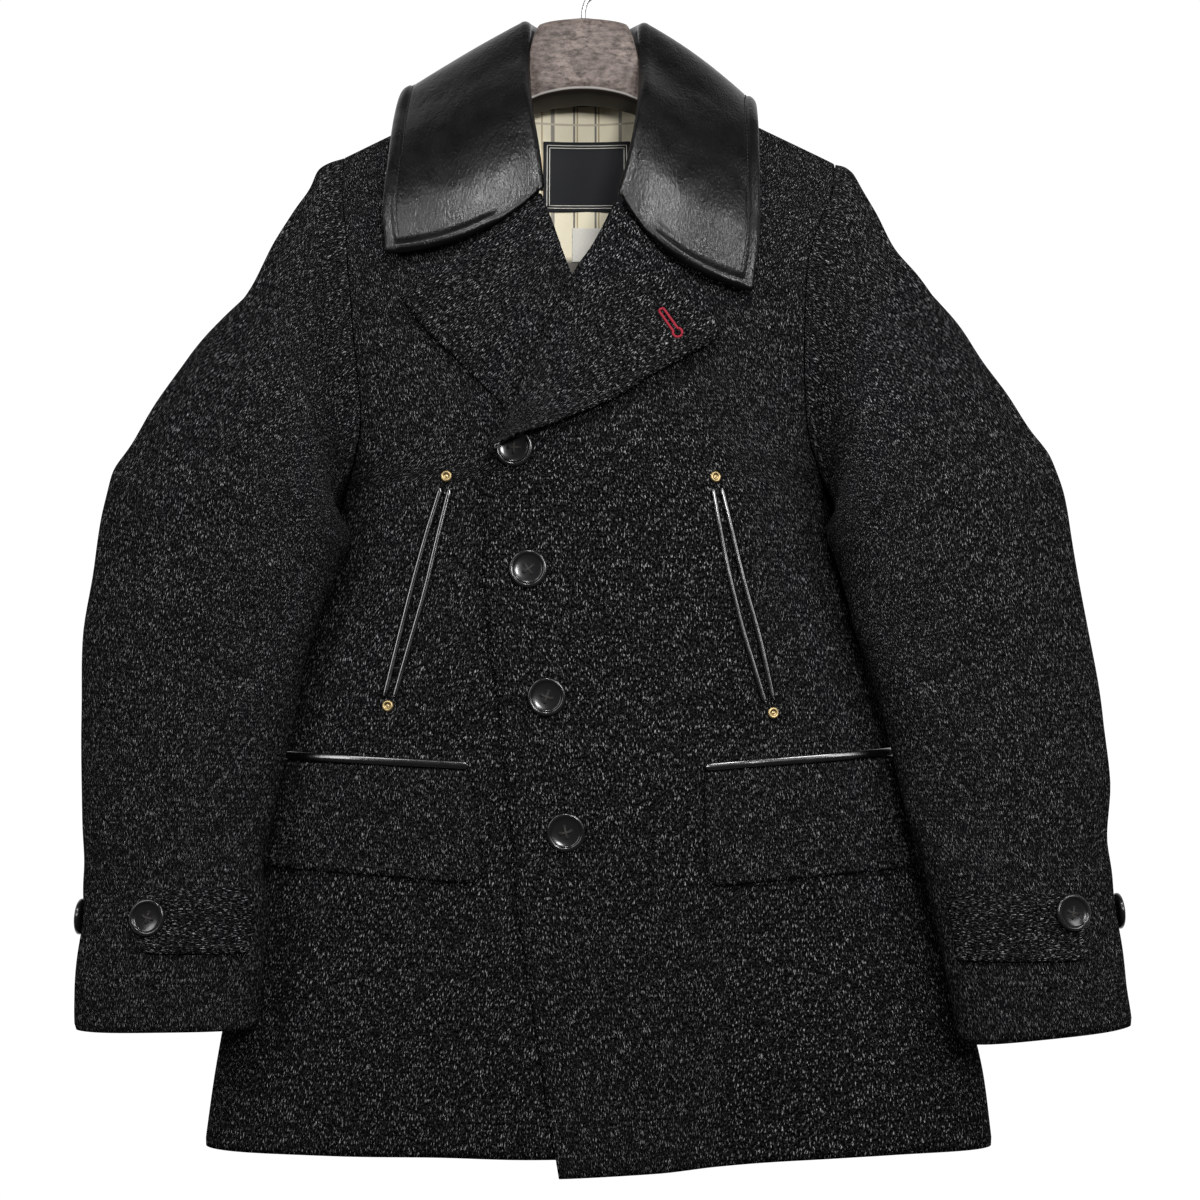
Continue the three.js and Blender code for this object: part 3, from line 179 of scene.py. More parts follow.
# Sections of the body: the drop below the shoulder line, the sides, the depths, and how
# square the section is
BODY = Sections("level left right front back square", [
    [0, 216, 226, 0, 0, 8],
    [1.2, 216, 226, 9, 9, 8],
    [4.5, 215, 225, 17, 17, 8],
    [10, 214, 224, 23.5, 23.5, 7],
    [20, 212, 222, 29, 28, 6.5],
    [40, 208, 217, 37, 33, 6],
    [70, 203, 210, 46, 38, 5],
    [110, 197, 202, 55, 43, 4.3],
    [150, 192, 195, 62, 47, 3.8],
    [190, 188, 190, 67, 50, 3.4],
    [230, 185, 186, 70, 52, 3.1],
    [270, 182, 184, 72, 54, 2.9],
    [300, 180, 182.5, 73, 55, 2.8],
    [318, 178, 182, 73, 56, 2.7],
    [345, 184, 189, 73, 57, 2.6],
    [385, 193, 198, 72.5, 57, 2.6],
    [430, 207, 210, 72, 57, 2.5],
    [475, 220, 222, 71, 57, 2.5],
    [525, 231, 237, 69, 56, 2.5],
    [580, 241, 251, 66, 54, 2.4],
    [640, 250, 266, 63, 52, 2.4],
    [700, 259, 282, 60, 49, 2.4],
    [750, 267, 293, 57, 47, 2.4],
    [797, 273, 298, 55, 45, 2.4],
])

# Distance of the armhole seams from the middle, by row of BODY
ARMHOLES = Sections("row front_left front_right back_left back_right", [
    [0, 184, 195, 184, 195],
    [5, 181, 188, 181, 189],
    [6, 179, 181, 179, 184],
    [7, 176, 173, 177, 180],
    [8, 174, 166.5, 175, 177],
    [9, 171, 164.5, 174, 175],
    [10, 167, 163.5, 173, 174],
    [11, 163, 165, 172, 174],
    [12, 168, 172, 173, 176],
    [12.6, 173, 177, 175.5, 179],
    [13, 178, 182, 178, 182],
])

# Inner edges of the fronts by depth below the shoulder line
OVERLAP_EDGE = Sections("level x", [
    [0, 68], [20, 66.5], [45, 60], [75, 46], [106, 25.5], [152, 5], [166, -4],
    [263, -49], [303, -67.5], [318, -70], [385, -70], [430, -66], [475, -60],
    [511, -56], [566, -50], [620, -45], [730, -27], [797, -15.5],
])
UNDERLAP_EDGE = Sections("level x", [
    [0, -68], [20, -66.5], [45, -61], [75, -49], [103, -30], [119, -24], [160, -10],
    [206, 10], [266, 34], [308, 52], [358, 68], [480, 66], [640, 54], [797, 40],
])

SLEEVE_COLUMNS = "outer_x outer_z inner_x inner_z outer_y inner_y front back"
SLEEVES = {
    LEFT_OF_VIEW: Sections(SLEEVE_COLUMNS, [
        [-184, -179, -178, -440, 0, 0, 58, 46],
        [-195, -183, -181, -447, -1, -4, 57, 46],
        [-203, -189, -184, -454, -2, -11, 56, 46],
        [-207.5, -203, -184, -460, -3, -21, 56, 46],
        [-219, -223, -181, -465, -4, -33, 55, 45],
        [-233, -244, -176, -469, -5, -44, 54, 45],
        [-248, -277, -171, -473, -6, -52, 53, 44],
        [-271, -306, -168.5, -477, -8, -57, 52, 43],
        [-297, -337, -168, -482, -10, -59, 50, 42],
        [-318, -371, -169, -488, -13, -59, 48, 41],
        [-337, -407, -172, -496, -16, -57, 46, 40],
        [-350, -431, -177, -505, -19, -56, 44, 39],
        [-356, -455, -182, -517, -20, -56, 43, 38],
        [-360, -500, -190, -538, -24, -55, 41, 37],
        [-364, -553, -200, -578, -30, -55, 39, 36],
        [-363.5, -612, -207.5, -617, -35, -55, 37, 34],
        [-358, -681, -220, -684, -40, -56, 35, 32],
        [-354.5, -720, -225, -716, -43, -58, 33, 31],
        [-354, -745, -221, -745, -46, -60, 32, 30],
        [-355, -771, -222, -770, -50, -60, 31, 30],
        [-355.5, -803, -225, -803, -55, -60, 30, 29],
        [-354, -829, -226, -827, -55, -60, 30, 29],
    ]),
    RIGHT_OF_VIEW: Sections(SLEEVE_COLUMNS, [
        [195, -182, 182, -440, 0, 0, 58, 46],
        [201, -184, 185, -447, -1, -4, 57, 46],
        [207, -189, 188, -454, -2, -11, 56, 46],
        [215, -206, 188, -460, -3, -21, 56, 46],
        [224, -226, 185, -465, -4, -33, 55, 45],
        [236, -249, 181, -469, -5, -44, 54, 45],
        [256, -275, 178, -473, -6, -52, 53, 44],
        [279, -306, 177.5, -477, -8, -57, 52, 43],
        [298, -335, 179, -482, -10, -59, 50, 42],
        [316, -364, 181, -488, -13, -59, 48, 41],
        [334, -395, 184, -496, -16, -57, 46, 40],
        [349, -419, 188, -510, -19, -56, 44, 39],
        [357, -440, 191, -522, -20, -56, 43, 38],
        [362, -483, 196, -545, -24, -55, 41, 37],
        [370, -553, 206, -576, -30, -55, 39, 36],
        [378, -608, 219, -621, -35, -55, 37, 34],
        [380, -655, 227, -662, -38, -56, 36, 32],
        [375, -700, 236, -699, -43, -58, 33, 31],
        [378, -728, 244, -727, -46, -60, 32, 30],
        [380, -760, 250, -759, -50, -60, 31, 30],
        [382, -795, 257, -797, -55, -60, 30, 29],
        [385, -826, 263, -838, -55, -60, 30, 29],
    ]),
}
SLEEVE_ROWS = 21
SLEEVE_SQUARE = 2.3
BACK_HOLD = 0.6
BACK_HOLD_ROWS = (7, 15)
SLEEVE_BLEND_ROWS = 7
SLEEVE_CLEARANCE = 3
UNDERARM_CLEARANCE = 1
CLEARANCE_ROWS = 1.5
LEAST_REACH = 0.05
FRONT_SEAM_TURN = 0.35
FRONT_SEAM_ROWS = (8, 13)
HIND_SEAM_ROW = 8

# How far the overlap stands off below the buttons and at the chest, and the heights
# between which it changes and fades
LOW_LIFT = 4
CHEST_LIFT = 11
CHEST_LIFT_RISE = (-500, -395)
LIFT_FADE = (-290, -215)

# Waves of the hanging cloth, with rates in radians a millimetre, or a row and a radian
HEM_FOLDS = [(1.44, 1 / 31, 1 / 260, 0), (0.99, 1 / 17.5, -1 / 340, 1.3)]
HEM_FOLD_RISE = (-600, -900)
PANEL_SLACK = [(0.5, 1 / 43, 1 / 57, 0), (0.35, 1 / 29, -1 / 38, 2.0)]
SLEEVE_SLACK = [(0.5, 1.9, 5.0, 0), (0.4, 3.7, -3.0, 0)]
SLEEVE_SLACK_ROWS = (1, 4)
ELBOW_BENDS = [(1.0, 2.3, 2.1, 0)]
ELBOW_START_ROWS = (9, 12)
ELBOW_END_ROWS = (17, 18.5)

# The ridge down the outside of a sleeve and the trough beside it: rows and angles of the
# ridge's path, the rows over which it rises and falls, and heights and half widths
RIDGE_START_ROW = 3
RIDGE_PATH_ROWS = 9
RIDGE_ANGLES = (0.35, 1.25)
RIDGE_RISE_ROWS = (2, 5)
RIDGE_FALL_ROWS = (11, 15)
RIDGE_HEIGHT = 3.0
RIDGE_WIDTH = 0.16
TROUGH_DEPTH = 2.2
TROUGH_WIDTH = 0.2
TROUGH_TURN = 0.42

# The body's surface


def body_section(row):
    section = BODY.at_row(row)
    section["centre"] = (section["right"] - section["left"]) / 2
    section["half"] = (section["right"] + section["left"]) / 2
    return section


def back_top_row(x):
    return NECK_ROW * np.maximum(0, 1 - (x / NECK_HALF) ** 2)


def slope_drop(face, x):
    outward = np.abs(x)
    nape = 0 if face == FRONT else -BODY.at_row(back_top_row(x))["level"]
    return np.where(outward > NECK_HALF, SHOULDER_SLOPE * (outward - NECK_HALF), nape)


def body_point(face, row, angle):
    row, angle = np.broadcast_arrays(row, angle)
    section = body_section(row)
    across = np.sin(angle)
    x = section["centre"] + section["half"] * across
    depth = section["front"] if face == FRONT else section["back"]
    square = section["square"]
    fullness = np.maximum(0, 1 - np.abs(across) ** square) ** (1 / square)
    slope = slope_drop(face, x) * (1 - smooth_step(0, SLOPE_FADE, section["level"]))
    return stack(x, face * depth * fullness, SHOULDER_TOP - section["level"] - slope)


def body_normal(face, row, angle):
    low = np.clip(row - NORMAL_STEP, 0, HEM_ROW)
    high = np.clip(row + NORMAL_STEP, 0, HEM_ROW)
    start = np.clip(angle - NORMAL_STEP, -RIGHT_ANGLE, RIGHT_ANGLE)
    end = np.clip(angle + NORMAL_STEP, -RIGHT_ANGLE, RIGHT_ANGLE)
    down = body_point(face, high, angle) - body_point(face, low, angle)
    side = body_point(face, row, end) - body_point(face, row, start)
    return unit(np.cross(down, side) * -face)


def body_angle(row, x):
    section = body_section(row)
    return np.arcsin(np.clip((x - section["centre"]) / section["half"], -1, 1))


def body_place(face, x, z):
    """The row and the angle at which a face of the body passes x and z."""
    x, z = np.broadcast_arrays(np.asarray(x, float), np.asarray(z, float))
    row = row_at(z, HEM_ROW, lambda middle: body_point(face, middle, body_angle(middle, x))[..., 2])
    return row, body_angle(row, x)


def overlap_lift(x, z):
    under_edge = UNDERLAP_EDGE.at(SHOULDER_TOP - z)["x"]
    layers = mix(LOW_LIFT, CHEST_LIFT, smooth_step(*CHEST_LIFT_RISE, z))
    across = 1 - smooth_step(under_edge + LIFT_START, under_edge + LIFT_END, x)
    return layers * across * (1 - smooth_step(*LIFT_FADE, z))


def drape(x, z):
    """Soft unevenness of the hanging fronts and back, a few millimetres at most."""
    return smooth_step(*HEM_FOLD_RISE, z) * ripple(HEM_FOLDS, x, z) + ripple(PANEL_SLACK, x, z)


def front_point(side, x, z, outward):
    row, angle = body_place(FRONT, x, z)
    lift = overlap_lift(x, z) if side == RIGHT_OF_VIEW else 0
    reach = np.asarray(outward + lift + drape(x, z))[..., None]
    return body_point(FRONT, row, angle) + body_normal(FRONT, row, angle) * reach


def front_normal(side, x, z):
    reach = 4
    across = front_point(side, x + reach, z, 0) - front_point(side, x - reach, z, 0)
    up = front_point(side, x, z + reach, 0) - front_point(side, x, z - reach, 0)
    return unit(np.cross(across, up))


# The sleeves' surface


def armhole_x(face, side, row):
    name = ("front" if face == FRONT else "back") + ("_left" if side < 0 else "_right")
    return side * ARMHOLES.at(row)[name]


def outer_angle(face, side, row):
    inside = body_angle(row, armhole_x(face, side, row))
    return np.where(row >= UNDERARM_ROW, side * RIGHT_ANGLE, inside)


def seam_point(face, side, row):
    return body_point(face, row, outer_angle(face, side, row))


def armhole_point(side, angle):
    result = []
    for face in (FRONT, BACK):
        top, bottom = (seam_point(face, side, np.array(float(row)))[2] for row in (0, UNDERARM_ROW))
        height = mix(top, bottom, (1 - np.cos(angle)) / 2)
        row = row_at(height, UNDERARM_ROW, lambda middle: seam_point(face, side, middle)[..., 2])
        result.append(seam_point(face, side, row))
    return np.where(np.sin(angle)[..., None] >= 0, result[0], result[1])


def armhole_angle(face, side, row):
    levels = [seam_point(face, side, np.array(float(r)))[2] for r in (row, 0, UNDERARM_ROW)]
    share = (levels[0] - levels[1]) / (levels[2] - levels[1])
    return -face * math.acos(1 - 2 * share)


def sleeve_oval(side, row, angle):
    section = SLEEVES[side].at_row(row)
    along = (1 - signed_power(np.cos(angle), 2 / SLEEVE_SQUARE)) / 2
    deep = signed_power(np.sin(angle), 2 / SLEEVE_SQUARE)
    depth = np.where(deep > 0, section["front"], section["back"])
    held = (1 - smooth_step(*BACK_HOLD_ROWS, row)) * smooth_step(0, BACK_HOLD, -deep)
    middle_y = mix(section["outer_y"], section["inner_y"], along) * (1 - held)
    return stack(
        mix(section["outer_x"], section["inner_x"], along),
        middle_y - deep * depth,
        mix(section["outer_z"], section["inner_z"], along),
    )


def clear_of_body(point, clearance):
    level = SHOULDER_TOP - point[..., 2]
    section = BODY.at(level)
    centre = (section["right"] - section["left"]) / 2
    half = (section["right"] + section["left"]) / 2 + clearance
    depth = np.where(point[..., 1] < 0, section["front"], section["back"]) + clearance
    across = np.abs(point[..., 0] - centre) / half
    deep = np.abs(point[..., 1]) / depth
    reach = (across ** section["square"] + deep ** section["square"]) ** (1 / section["square"])
    pushed = (level >= BODY.rows[UNDERARM_ROW][0]) & (reach < 1)
    scale = np.where(pushed, 1 / np.maximum(reach, LEAST_REACH), 1)
    x = centre + (point[..., 0] - centre) * scale
    return stack(x, point[..., 1] * scale, point[..., 2])


def sleeve_point(side, row, angle):
    row, angle = np.broadcast_arrays(np.asarray(row, float), np.asarray(angle, float))
    start = armhole_point(side, angle) - sleeve_oval(side, np.zeros(row.shape), angle)
    kept = (1 - smooth_step(0, SLEEVE_BLEND_ROWS, row))[..., None]
    point = sleeve_oval(side, row, angle) + start * kept
    clearance = mix(UNDERARM_CLEARANCE, SLEEVE_CLEARANCE, smooth_step(0, CLEARANCE_ROWS, row))
    return clear_of_body(point, clearance)


def sleeve_normal(side, row, angle):
    step = SLEEVE_NORMAL_STEP
    low = np.clip(row - step, 0, SLEEVE_ROWS)
    high = np.clip(row + step, 0, SLEEVE_ROWS)
    down = sleeve_point(side, high, angle) - sleeve_point(side, low, angle)
    around = sleeve_point(side, row, angle + step) - sleeve_point(side, row, angle - step)
    return unit(np.cross(down, around) * -side)


def sleeve_creases(row, angle):
    """Soft ridges: one from the shoulder's tip down the outside, and bends at the elbow."""
    path = mix(*RIDGE_ANGLES, np.clip((row - RIDGE_START_ROW) / RIDGE_PATH_ROWS, 0, 1))
    along = smooth_step(*RIDGE_RISE_ROWS, row) * (1 - smooth_step(*RIDGE_FALL_ROWS, row))
    ridge = RIDGE_HEIGHT * along * bell(angle - path, RIDGE_WIDTH)
    trough = TROUGH_DEPTH * along * bell(angle - path + TROUGH_TURN, TROUGH_WIDTH)
    elbow = smooth_step(*ELBOW_START_ROWS, row) * (1 - smooth_step(*ELBOW_END_ROWS, row))
    bends = ripple(ELBOW_BENDS, row, angle) * elbow * np.maximum(0, np.sin(angle))
    slack = ripple(SLEEVE_SLACK, row, angle) * smooth_step(*SLEEVE_SLACK_ROWS, row)
    return ridge - trough + bends + slack


# Meshes

EDGE_SHARE = 0.3


def grid_normals(points):
    down = np.gradient(points, axis=0)
    across = np.gradient(points, axis=1)
    return unit(np.cross(across, down))


def corners(a, b, c, d):
    return np.stack([a, b, c, d], axis=-1).reshape(-1, 4)


def cloth_uv(middle, turned):
    """Distances across and along a grid, in metres, so that the weave keeps its size."""
    across = np.linalg.norm(np.diff(middle, axis=1), axis=-1).mean(axis=0)
    down = np.linalg.norm(np.diff(middle, axis=0), axis=-1).mean(axis=1)
    u = np.concatenate([[0], np.cumsum(across)])
    v = np.concatenate([[0], np.cumsum(down)])
    grid = np.stack(np.meshgrid(u, v), axis=-1) * MM
    return grid[..., ::-1] if turned else grid


def quad_mesh(name, points, quads, uv, material):
    mesh = bpy.data.meshes.new(name)
    mesh.vertices.add(len(points))
    mesh.vertices.foreach_set("co", (points * MM).ravel())
    mesh.loops.add(quads.size)
    mesh.loops.foreach_set("vertex_index", quads.ravel())
    mesh.polygons.add(len(quads))
    mesh.polygons.foreach_set("loop_start", np.arange(0, quads.size, 4))
    mesh.polygons.foreach_set("use_smooth", np.ones(len(quads), bool))
    layer = mesh.uv_layers.new(name="cloth")
    layer.data.foreach_set("uv", uv[quads.ravel()].ravel())
    mesh.update(calc_edges=True)
    mesh.materials.append(material)
    thing = bpy.data.objects.new(name, mesh)
    bpy.context.scene.collection.objects.link(thing)
    return thing


def wall(name, outer, thickness, material, outward, turned=False, rise=None):
    """A closed sheet below a grid of outer points, thinner round its edge.

    outward is a direction that the outer face looks in at the grid's middle; rise adds
    to the outer face only.
    """
    normals = grid_normals(outer)
    centre = tuple(size // 2 for size in outer.shape[:2])
    if np.dot(normals[centre], outward) < 0:
        normals = -normals
    half = np.full(outer.shape[:2], thickness / 2 * EDGE_SHARE)
    half[1:-1, 1:-1] = thickness / 2
    middle = outer - normals * thickness / 2
    face = middle + normals * half[..., None]
    if rise is not None:
        face = face + normals * rise[..., None]
    points = np.concatenate([face.reshape(-1, 3), (middle - normals * half[..., None]).reshape(-1, 3)])
    front, back = np.arange(len(points)).reshape(2, *outer.shape[:2])
    quads = np.concatenate([
        corners(front[:-1, :-1], front[1:, :-1], front[1:, 1:], front[:-1, 1:]),
        corners(back[:-1, :-1], back[:-1, 1:], back[1:, 1:], back[1:, :-1]),
        corners(front[0, :-1], front[0, 1:], back[0, 1:], back[0, :-1]),
        corners(front[-1, 1:], front[-1, :-1], back[-1, :-1], back[-1, 1:]),
        corners(front[1:, 0], front[:-1, 0], back[:-1, 0], back[1:, 0]),
        corners(front[:-1, -1], front[1:, -1], back[1:, -1], back[:-1, -1]),
    ])
    a, b, c = (points[quads[:, k]] for k in range(3))
    if np.sum(np.cross(b - a, c - a) * points[quads].mean(axis=1)) < 0:
        quads = quads[:, ::-1]
    uv = cloth_uv(middle, turned).reshape(-1, 2)
    thing = quad_mesh(name, points, np.ascontiguousarray(quads), np.concatenate([uv, uv]), material)
    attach(thing, "root")
    return thing


def cloth_piece(name, outer, outward, turned=False):
    piece = wall(name + "_cloth", outer, CLOTH, PALETTE["tweed"], outward, turned=turned)
    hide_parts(name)


def drawn_in(outer, gaps=(SEAM_GAP, SEAM_GAP, SEAM_GAP, SEAM_GAP)):
    """Pulls the grid's top, bottom, first and last edges in by half a seam's gap."""
    points = outer.copy()
    first, last, left, right = gaps
    points[0] += unit(outer[1] - outer[0]) * first / 2
    points[-1] += unit(outer[-2] - outer[-1]) * last / 2
    points[:, 0] += unit(outer[:, 1] - outer[:, 0]) * left / 2
    points[:, -1] += unit(outer[:, -2] - outer[:, -1]) * right / 2
    return points


def plain_mesh(name, points, faces, material):
    mesh = bpy.data.meshes.new(name)
    mesh.from_pydata([tuple(np.asarray(p) * MM) for p in points], [], faces)
    mesh.materials.append(material)
    for polygon in mesh.polygons:
        polygon.use_smooth = True
    mesh.update()
    thing = bpy.data.objects.new(name, mesh)
    bpy.context.scene.collection.objects.link(thing)
    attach(thing, "root")
    return thing


def ring_faces(start, rings, sides):
    """Faces of a tube whose rings of points follow each other, with both ends shut."""
    faces = []
    for ring in range(rings - 1):
        for i in range(sides):
            a = start + ring * sides + i
            b = start + ring * sides + (i + 1) % sides
            faces.append((a, b, b + sides, a + sides))
    last = start + (rings - 1) * sides
    faces.append(tuple(reversed(range(start, start + sides))))
    faces.append(tuple(range(last, last + sides)))
    return faces


def frame_on(normal):
    """Two directions square to a normal, the second as near to up as it can be."""
    side = unit(np.cross([0, 0, 1.0], normal))
    return side, np.cross(normal, side)


def turned_mesh(name, profile, spot, normal, material, sides=48):
    """A turned shape on a spot; the profile lists radius and height from axis to axis."""
    side, up = frame_on(normal)
    points = []
    turns = np.linspace(0, 2 * math.pi, sides, endpoint=False)
    for radius, height in profile:
        for turn in turns:
            points.append(spot + normal * height + radius * (side * math.cos(turn) + up * math.sin(turn)))
    return plain_mesh(name, points, ring_faces(0, len(profile), sides), material)


# No thread or wire runs this way, so it serves to find a direction square to each
TUBE_HELPER = np.array([0.31, 0.17, 0.93])


def tube_mesh(name, lines, radius, material, sides=6):
    """Round threads or wires along lists of points, in one mesh, with closed ends."""
    points = []
    faces = []
    for line in lines:
        line = np.asarray(line, float)
        along = unit(np.gradient(line, axis=0))
        side = unit(np.cross(along, TUBE_HELPER))
        up = np.cross(along, side)
        start = len(points)
        for spot, a, b in zip(line, side, up):
            for k in range(sides):
                turn = 2 * math.pi * k / sides
                points.append(spot + radius * (a * math.cos(turn) + b * math.sin(turn)))
        faces += ring_faces(start, len(line), sides)
    return plain_mesh(name, points, faces, material)


def dashes(line, stitch, gap):
    """Cuts a line of points into stitches."""
    line = np.asarray(line, float)
    starts = np.arange(gap, reach_along(line)[-1] - stitch, stitch + gap)
    return [read_along(line, np.linspace(start, start + stitch, 4)) for start in starts]


# Materials


class Shader:
    """Builds a node material with short names for its nodes and links."""

    def __init__(self, name):
        self.material = bpy.data.materials.new(name)
        self.material.use_nodes = True
        self.tree = self.material.node_tree
        self.surface = self.tree.nodes["Principled BSDF"]

    def node(self, kind, inputs=None, **settings):
        made = self.tree.nodes.new("ShaderNode" + kind)
        for key, value in settings.items():
            setattr(made, key, value)
        for key, value in (inputs or {}).items():
            self.give(made.inputs[key], value)
        return made

    def give(self, socket, value):
        if isinstance(value, bpy.types.NodeSocket):
            self.tree.links.new(value, socket)
        else:
            socket.default_value = value

    def set(self, **values):
        for key, value in values.items():
            self.give(self.surface.inputs[key.replace("_", " ")], value)

    def cloth_place(self, scale, turn=0.0):
        uv = self.node("UVMap", uv_map="cloth")
        return self.node("Mapping", {
            "Vector": uv.outputs["UV"], "Scale": scale, "Rotation": (0, 0, turn),
        }).outputs["Vector"]

    def object_place(self, scale=(1, 1, 1)):
        place = self.node("TexCoord")
        return self.node("Mapping", {"Vector": place.outputs["Object"], "Scale": scale}).outputs["Vector"]

    def noise(self, vector, scale, detail=2.0, rough=0.5):
        return self.node("TexNoise", {
            "Vector": vector, "Scale": scale, "Detail": detail, "Roughness": rough,
        }).outputs["Fac"]

    def ramp(self, value, low, high, start=0.0, end=1.0):
        return self.node("MapRange", {
            "Value": value, "From Min": low, "From Max": high, "To Min": start, "To Max": end,
        }).outputs["Result"]

    def math(self, operation, a, b=0.0):
        return self.node("Math", {0: a, 1: b}, operation=operation).outputs[0]

    def blend(self, share, a, b):
        made = self.node("Mix", data_type="RGBA")
        self.give(made.inputs[0], share)
        self.give(made.inputs[6], a)
        self.give(made.inputs[7], b)
        return made.outputs[2]

    def bump(self, height, strength, distance, normal=None):
        inputs = {"Height": height, "Strength": strength, "Distance": distance * MM}
        if normal is not None:
            inputs["Normal"] = normal
        return self.node("Bump", inputs).outputs["Normal"]


def grey(value, alpha=1.0):
    return (value, value, value, alpha)


# Light fibres in the weave: their turn from the warp, the threshold, and the lightness
FLECKS = [(0.0, 0.675, 0.34), (0.35, 0.69, 0.28), (-0.45, 0.69, 0.24), (1.4, 0.71, 0.19)]


def tweed_material():
    s = Shader("tweed")
    cloud = s.noise(s.cloth_place((1, 1, 1)), 30, 3)
    shade = s.blend(cloud, (0.0008, 0.0008, 0.0010, 1), (0.0022, 0.0022, 0.0026, 1))
    weave = s.noise(s.cloth_place((1, 0.55, 1)), 1000, 2, 0.6)
    shade = s.blend(s.ramp(weave, 0.44, 0.70), shade, (0.018, 0.018, 0.0188, 1))
    patches = s.ramp(s.noise(s.cloth_place((1, 0.6, 1)), 140, 2), 0.38, 0.62, 0.35, 1.0)
    for turn, low, light in FLECKS:
        streak = s.noise(s.cloth_place((1, 0.18, 1), turn), 1650, 0.5)
        share = s.math("MULTIPLY", s.ramp(streak, low, low + 0.07), patches)
        shade = s.blend(share, shade, (light, light, light * 1.02, 1))
    height = s.math("ADD", weave, s.noise(s.cloth_place((1, 0.4, 1)), 1500, 1))
    s.set(Base_Color=shade, Roughness=1.0, Specular_IOR_Level=0.0)
    s.set(Normal=s.bump(height, 0.9, 0.8))
    return s.material


def leather_material():
    """Black hide: fine drawn-out grain over soft wrinkles, with a satin sheen."""
    s = Shader("leather")
    place = s.object_place()
    grain = s.noise(s.object_place((1, 1, 0.3)), 760, 2, 0.55)
    crinkle = s.noise(s.object_place((1, 1, 0.5)), 330, 3, 0.6)
    waves = s.noise(s.object_place((1, 1, 0.4)), 60, 2, 0.5)
    normal = s.bump(grain, 0.55, 0.6, s.bump(crinkle, 0.14, 0.9, s.bump(waves, 0.20, 4.0)))
    shade = s.blend(s.noise(place, 18, 3), (0.0005, 0.0005, 0.0006, 1), (0.0018, 0.0018, 0.002, 1))
    s.set(Base_Color=shade, Normal=normal, Specular_IOR_Level=0.38)
    s.set(Roughness=s.ramp(s.noise(place, 60, 2), 0.3, 0.7, 0.26, 0.34))
    return s.material


def piping_material():
    """The same hide drawn tight over a cord, so smoother and brighter."""
    s = Shader("piping_leather")
    place = s.object_place()
    creases = s.noise(s.object_place(), 260, 2, 0.5)
    s.set(Base_Color=(0.0015, 0.0015, 0.0017, 1), Normal=s.bump(creases, 0.25, 0.5))
    s.set(Roughness=s.ramp(s.noise(place, 90, 2), 0.3, 0.7, 0.18, 0.28), Specular_IOR_Level=1.0)
    s.set(Coat_Weight=1.0, Coat_Roughness=0.16)
    return s.material


def button_material():
    s = Shader("button")
    s.set(Base_Color=(0.007, 0.007, 0.0075, 1), Roughness=0.2, Specular_IOR_Level=0.6)
    fine = s.noise(s.object_place(), 300, 2)
    s.set(Normal=s.bump(fine, 0.08, 0.3))
    return s.material


def brass_material():
    s = Shader("brass")
    wear_and_highlight = s.noise(s.object_place(), 420, 3)
    shade = s.blend(wear_and_highlight, (0.20, 0.14, 0.06, 1), (0.62, 0.48, 0.25, 1))
    s.set(Base_Color=shade, Metallic=1.0, Roughness=0.42)
    return s.material


def steel_material():
    s = Shader("hook_steel")
    brushed = s.noise(s.object_place((1, 1, 0.1)), 500, 2)
    s.set(Base_Color=grey(0.6), Metallic=1.0, Roughness=s.ramp(brushed, 0.3, 0.7, 0.2, 0.35))
    return s.material


# The foot of the hanger's front face, where a painted highlight runs and below which the
# underside is painted in shade: its height in the middle, and its fall to the sides
FACE_FOOT = {"z": -127.6, "curve": 0.0047}


def hanger_material():
    """Brushed grey-brown, with a painted highlight along the foot of its face and painted shade on the
    underside below it.
    """
    s = Shader("hanger_shell")
    streak = s.noise(s.object_place((0.5, 1, 1)), 260, 6, 0.75)
    cloud = s.noise(s.object_place(), 40, 4)
    shade = s.blend(s.ramp(streak, 0.38, 0.66), (0.05, 0.038, 0.033, 1), (0.25, 0.20, 0.18, 1))
    shade = s.blend(s.ramp(cloud, 0.4, 0.7, 0.0, 0.5), shade, (0.07, 0.055, 0.05, 1))
    split = s.node("SeparateXYZ", {"Vector": s.object_place()})
    x = split.outputs["X"]
    arch = s.math("MULTIPLY", s.math("MULTIPLY", x, x), -FACE_FOOT["curve"] / MM)
    above = s.math("SUBTRACT", s.math("SUBTRACT", split.outputs["Z"], arch), FACE_FOOT["z"] * MM)
    # Painted shade: the underside below the face's foot is darkened as if out of the light
    shade = s.blend(s.ramp(above, -0.0004, 0.0002, 1.0, 0.0), shade, (0.022, 0.017, 0.015, 1))
    # Painted highlight: a light strip along the worn, lit edge at the face's foot
    wear_and_highlight = s.ramp(s.math("ABSOLUTE", above), 0.0003, 0.0009, 0.75, 0.0)
    shade = s.blend(wear_and_highlight, shade, (0.55, 0.52, 0.49, 1))
    s.set(Base_Color=shade, Roughness=0.5, Specular_IOR_Level=0.2, Normal=s.bump(streak, 0.2, 0.4))
    return s.material


def plain_cloth(name, color, scale=700):
    s = Shader(name)
    grain = s.noise(s.object_place(), scale, 2)
    soft = tuple(channel * 0.82 for channel in color[:3]) + (1,)
    s.set(Base_Color=s.blend(grain, soft, color), Roughness=0.85, Normal=s.bump(grain, 0.3, 0.3))
    return s.material


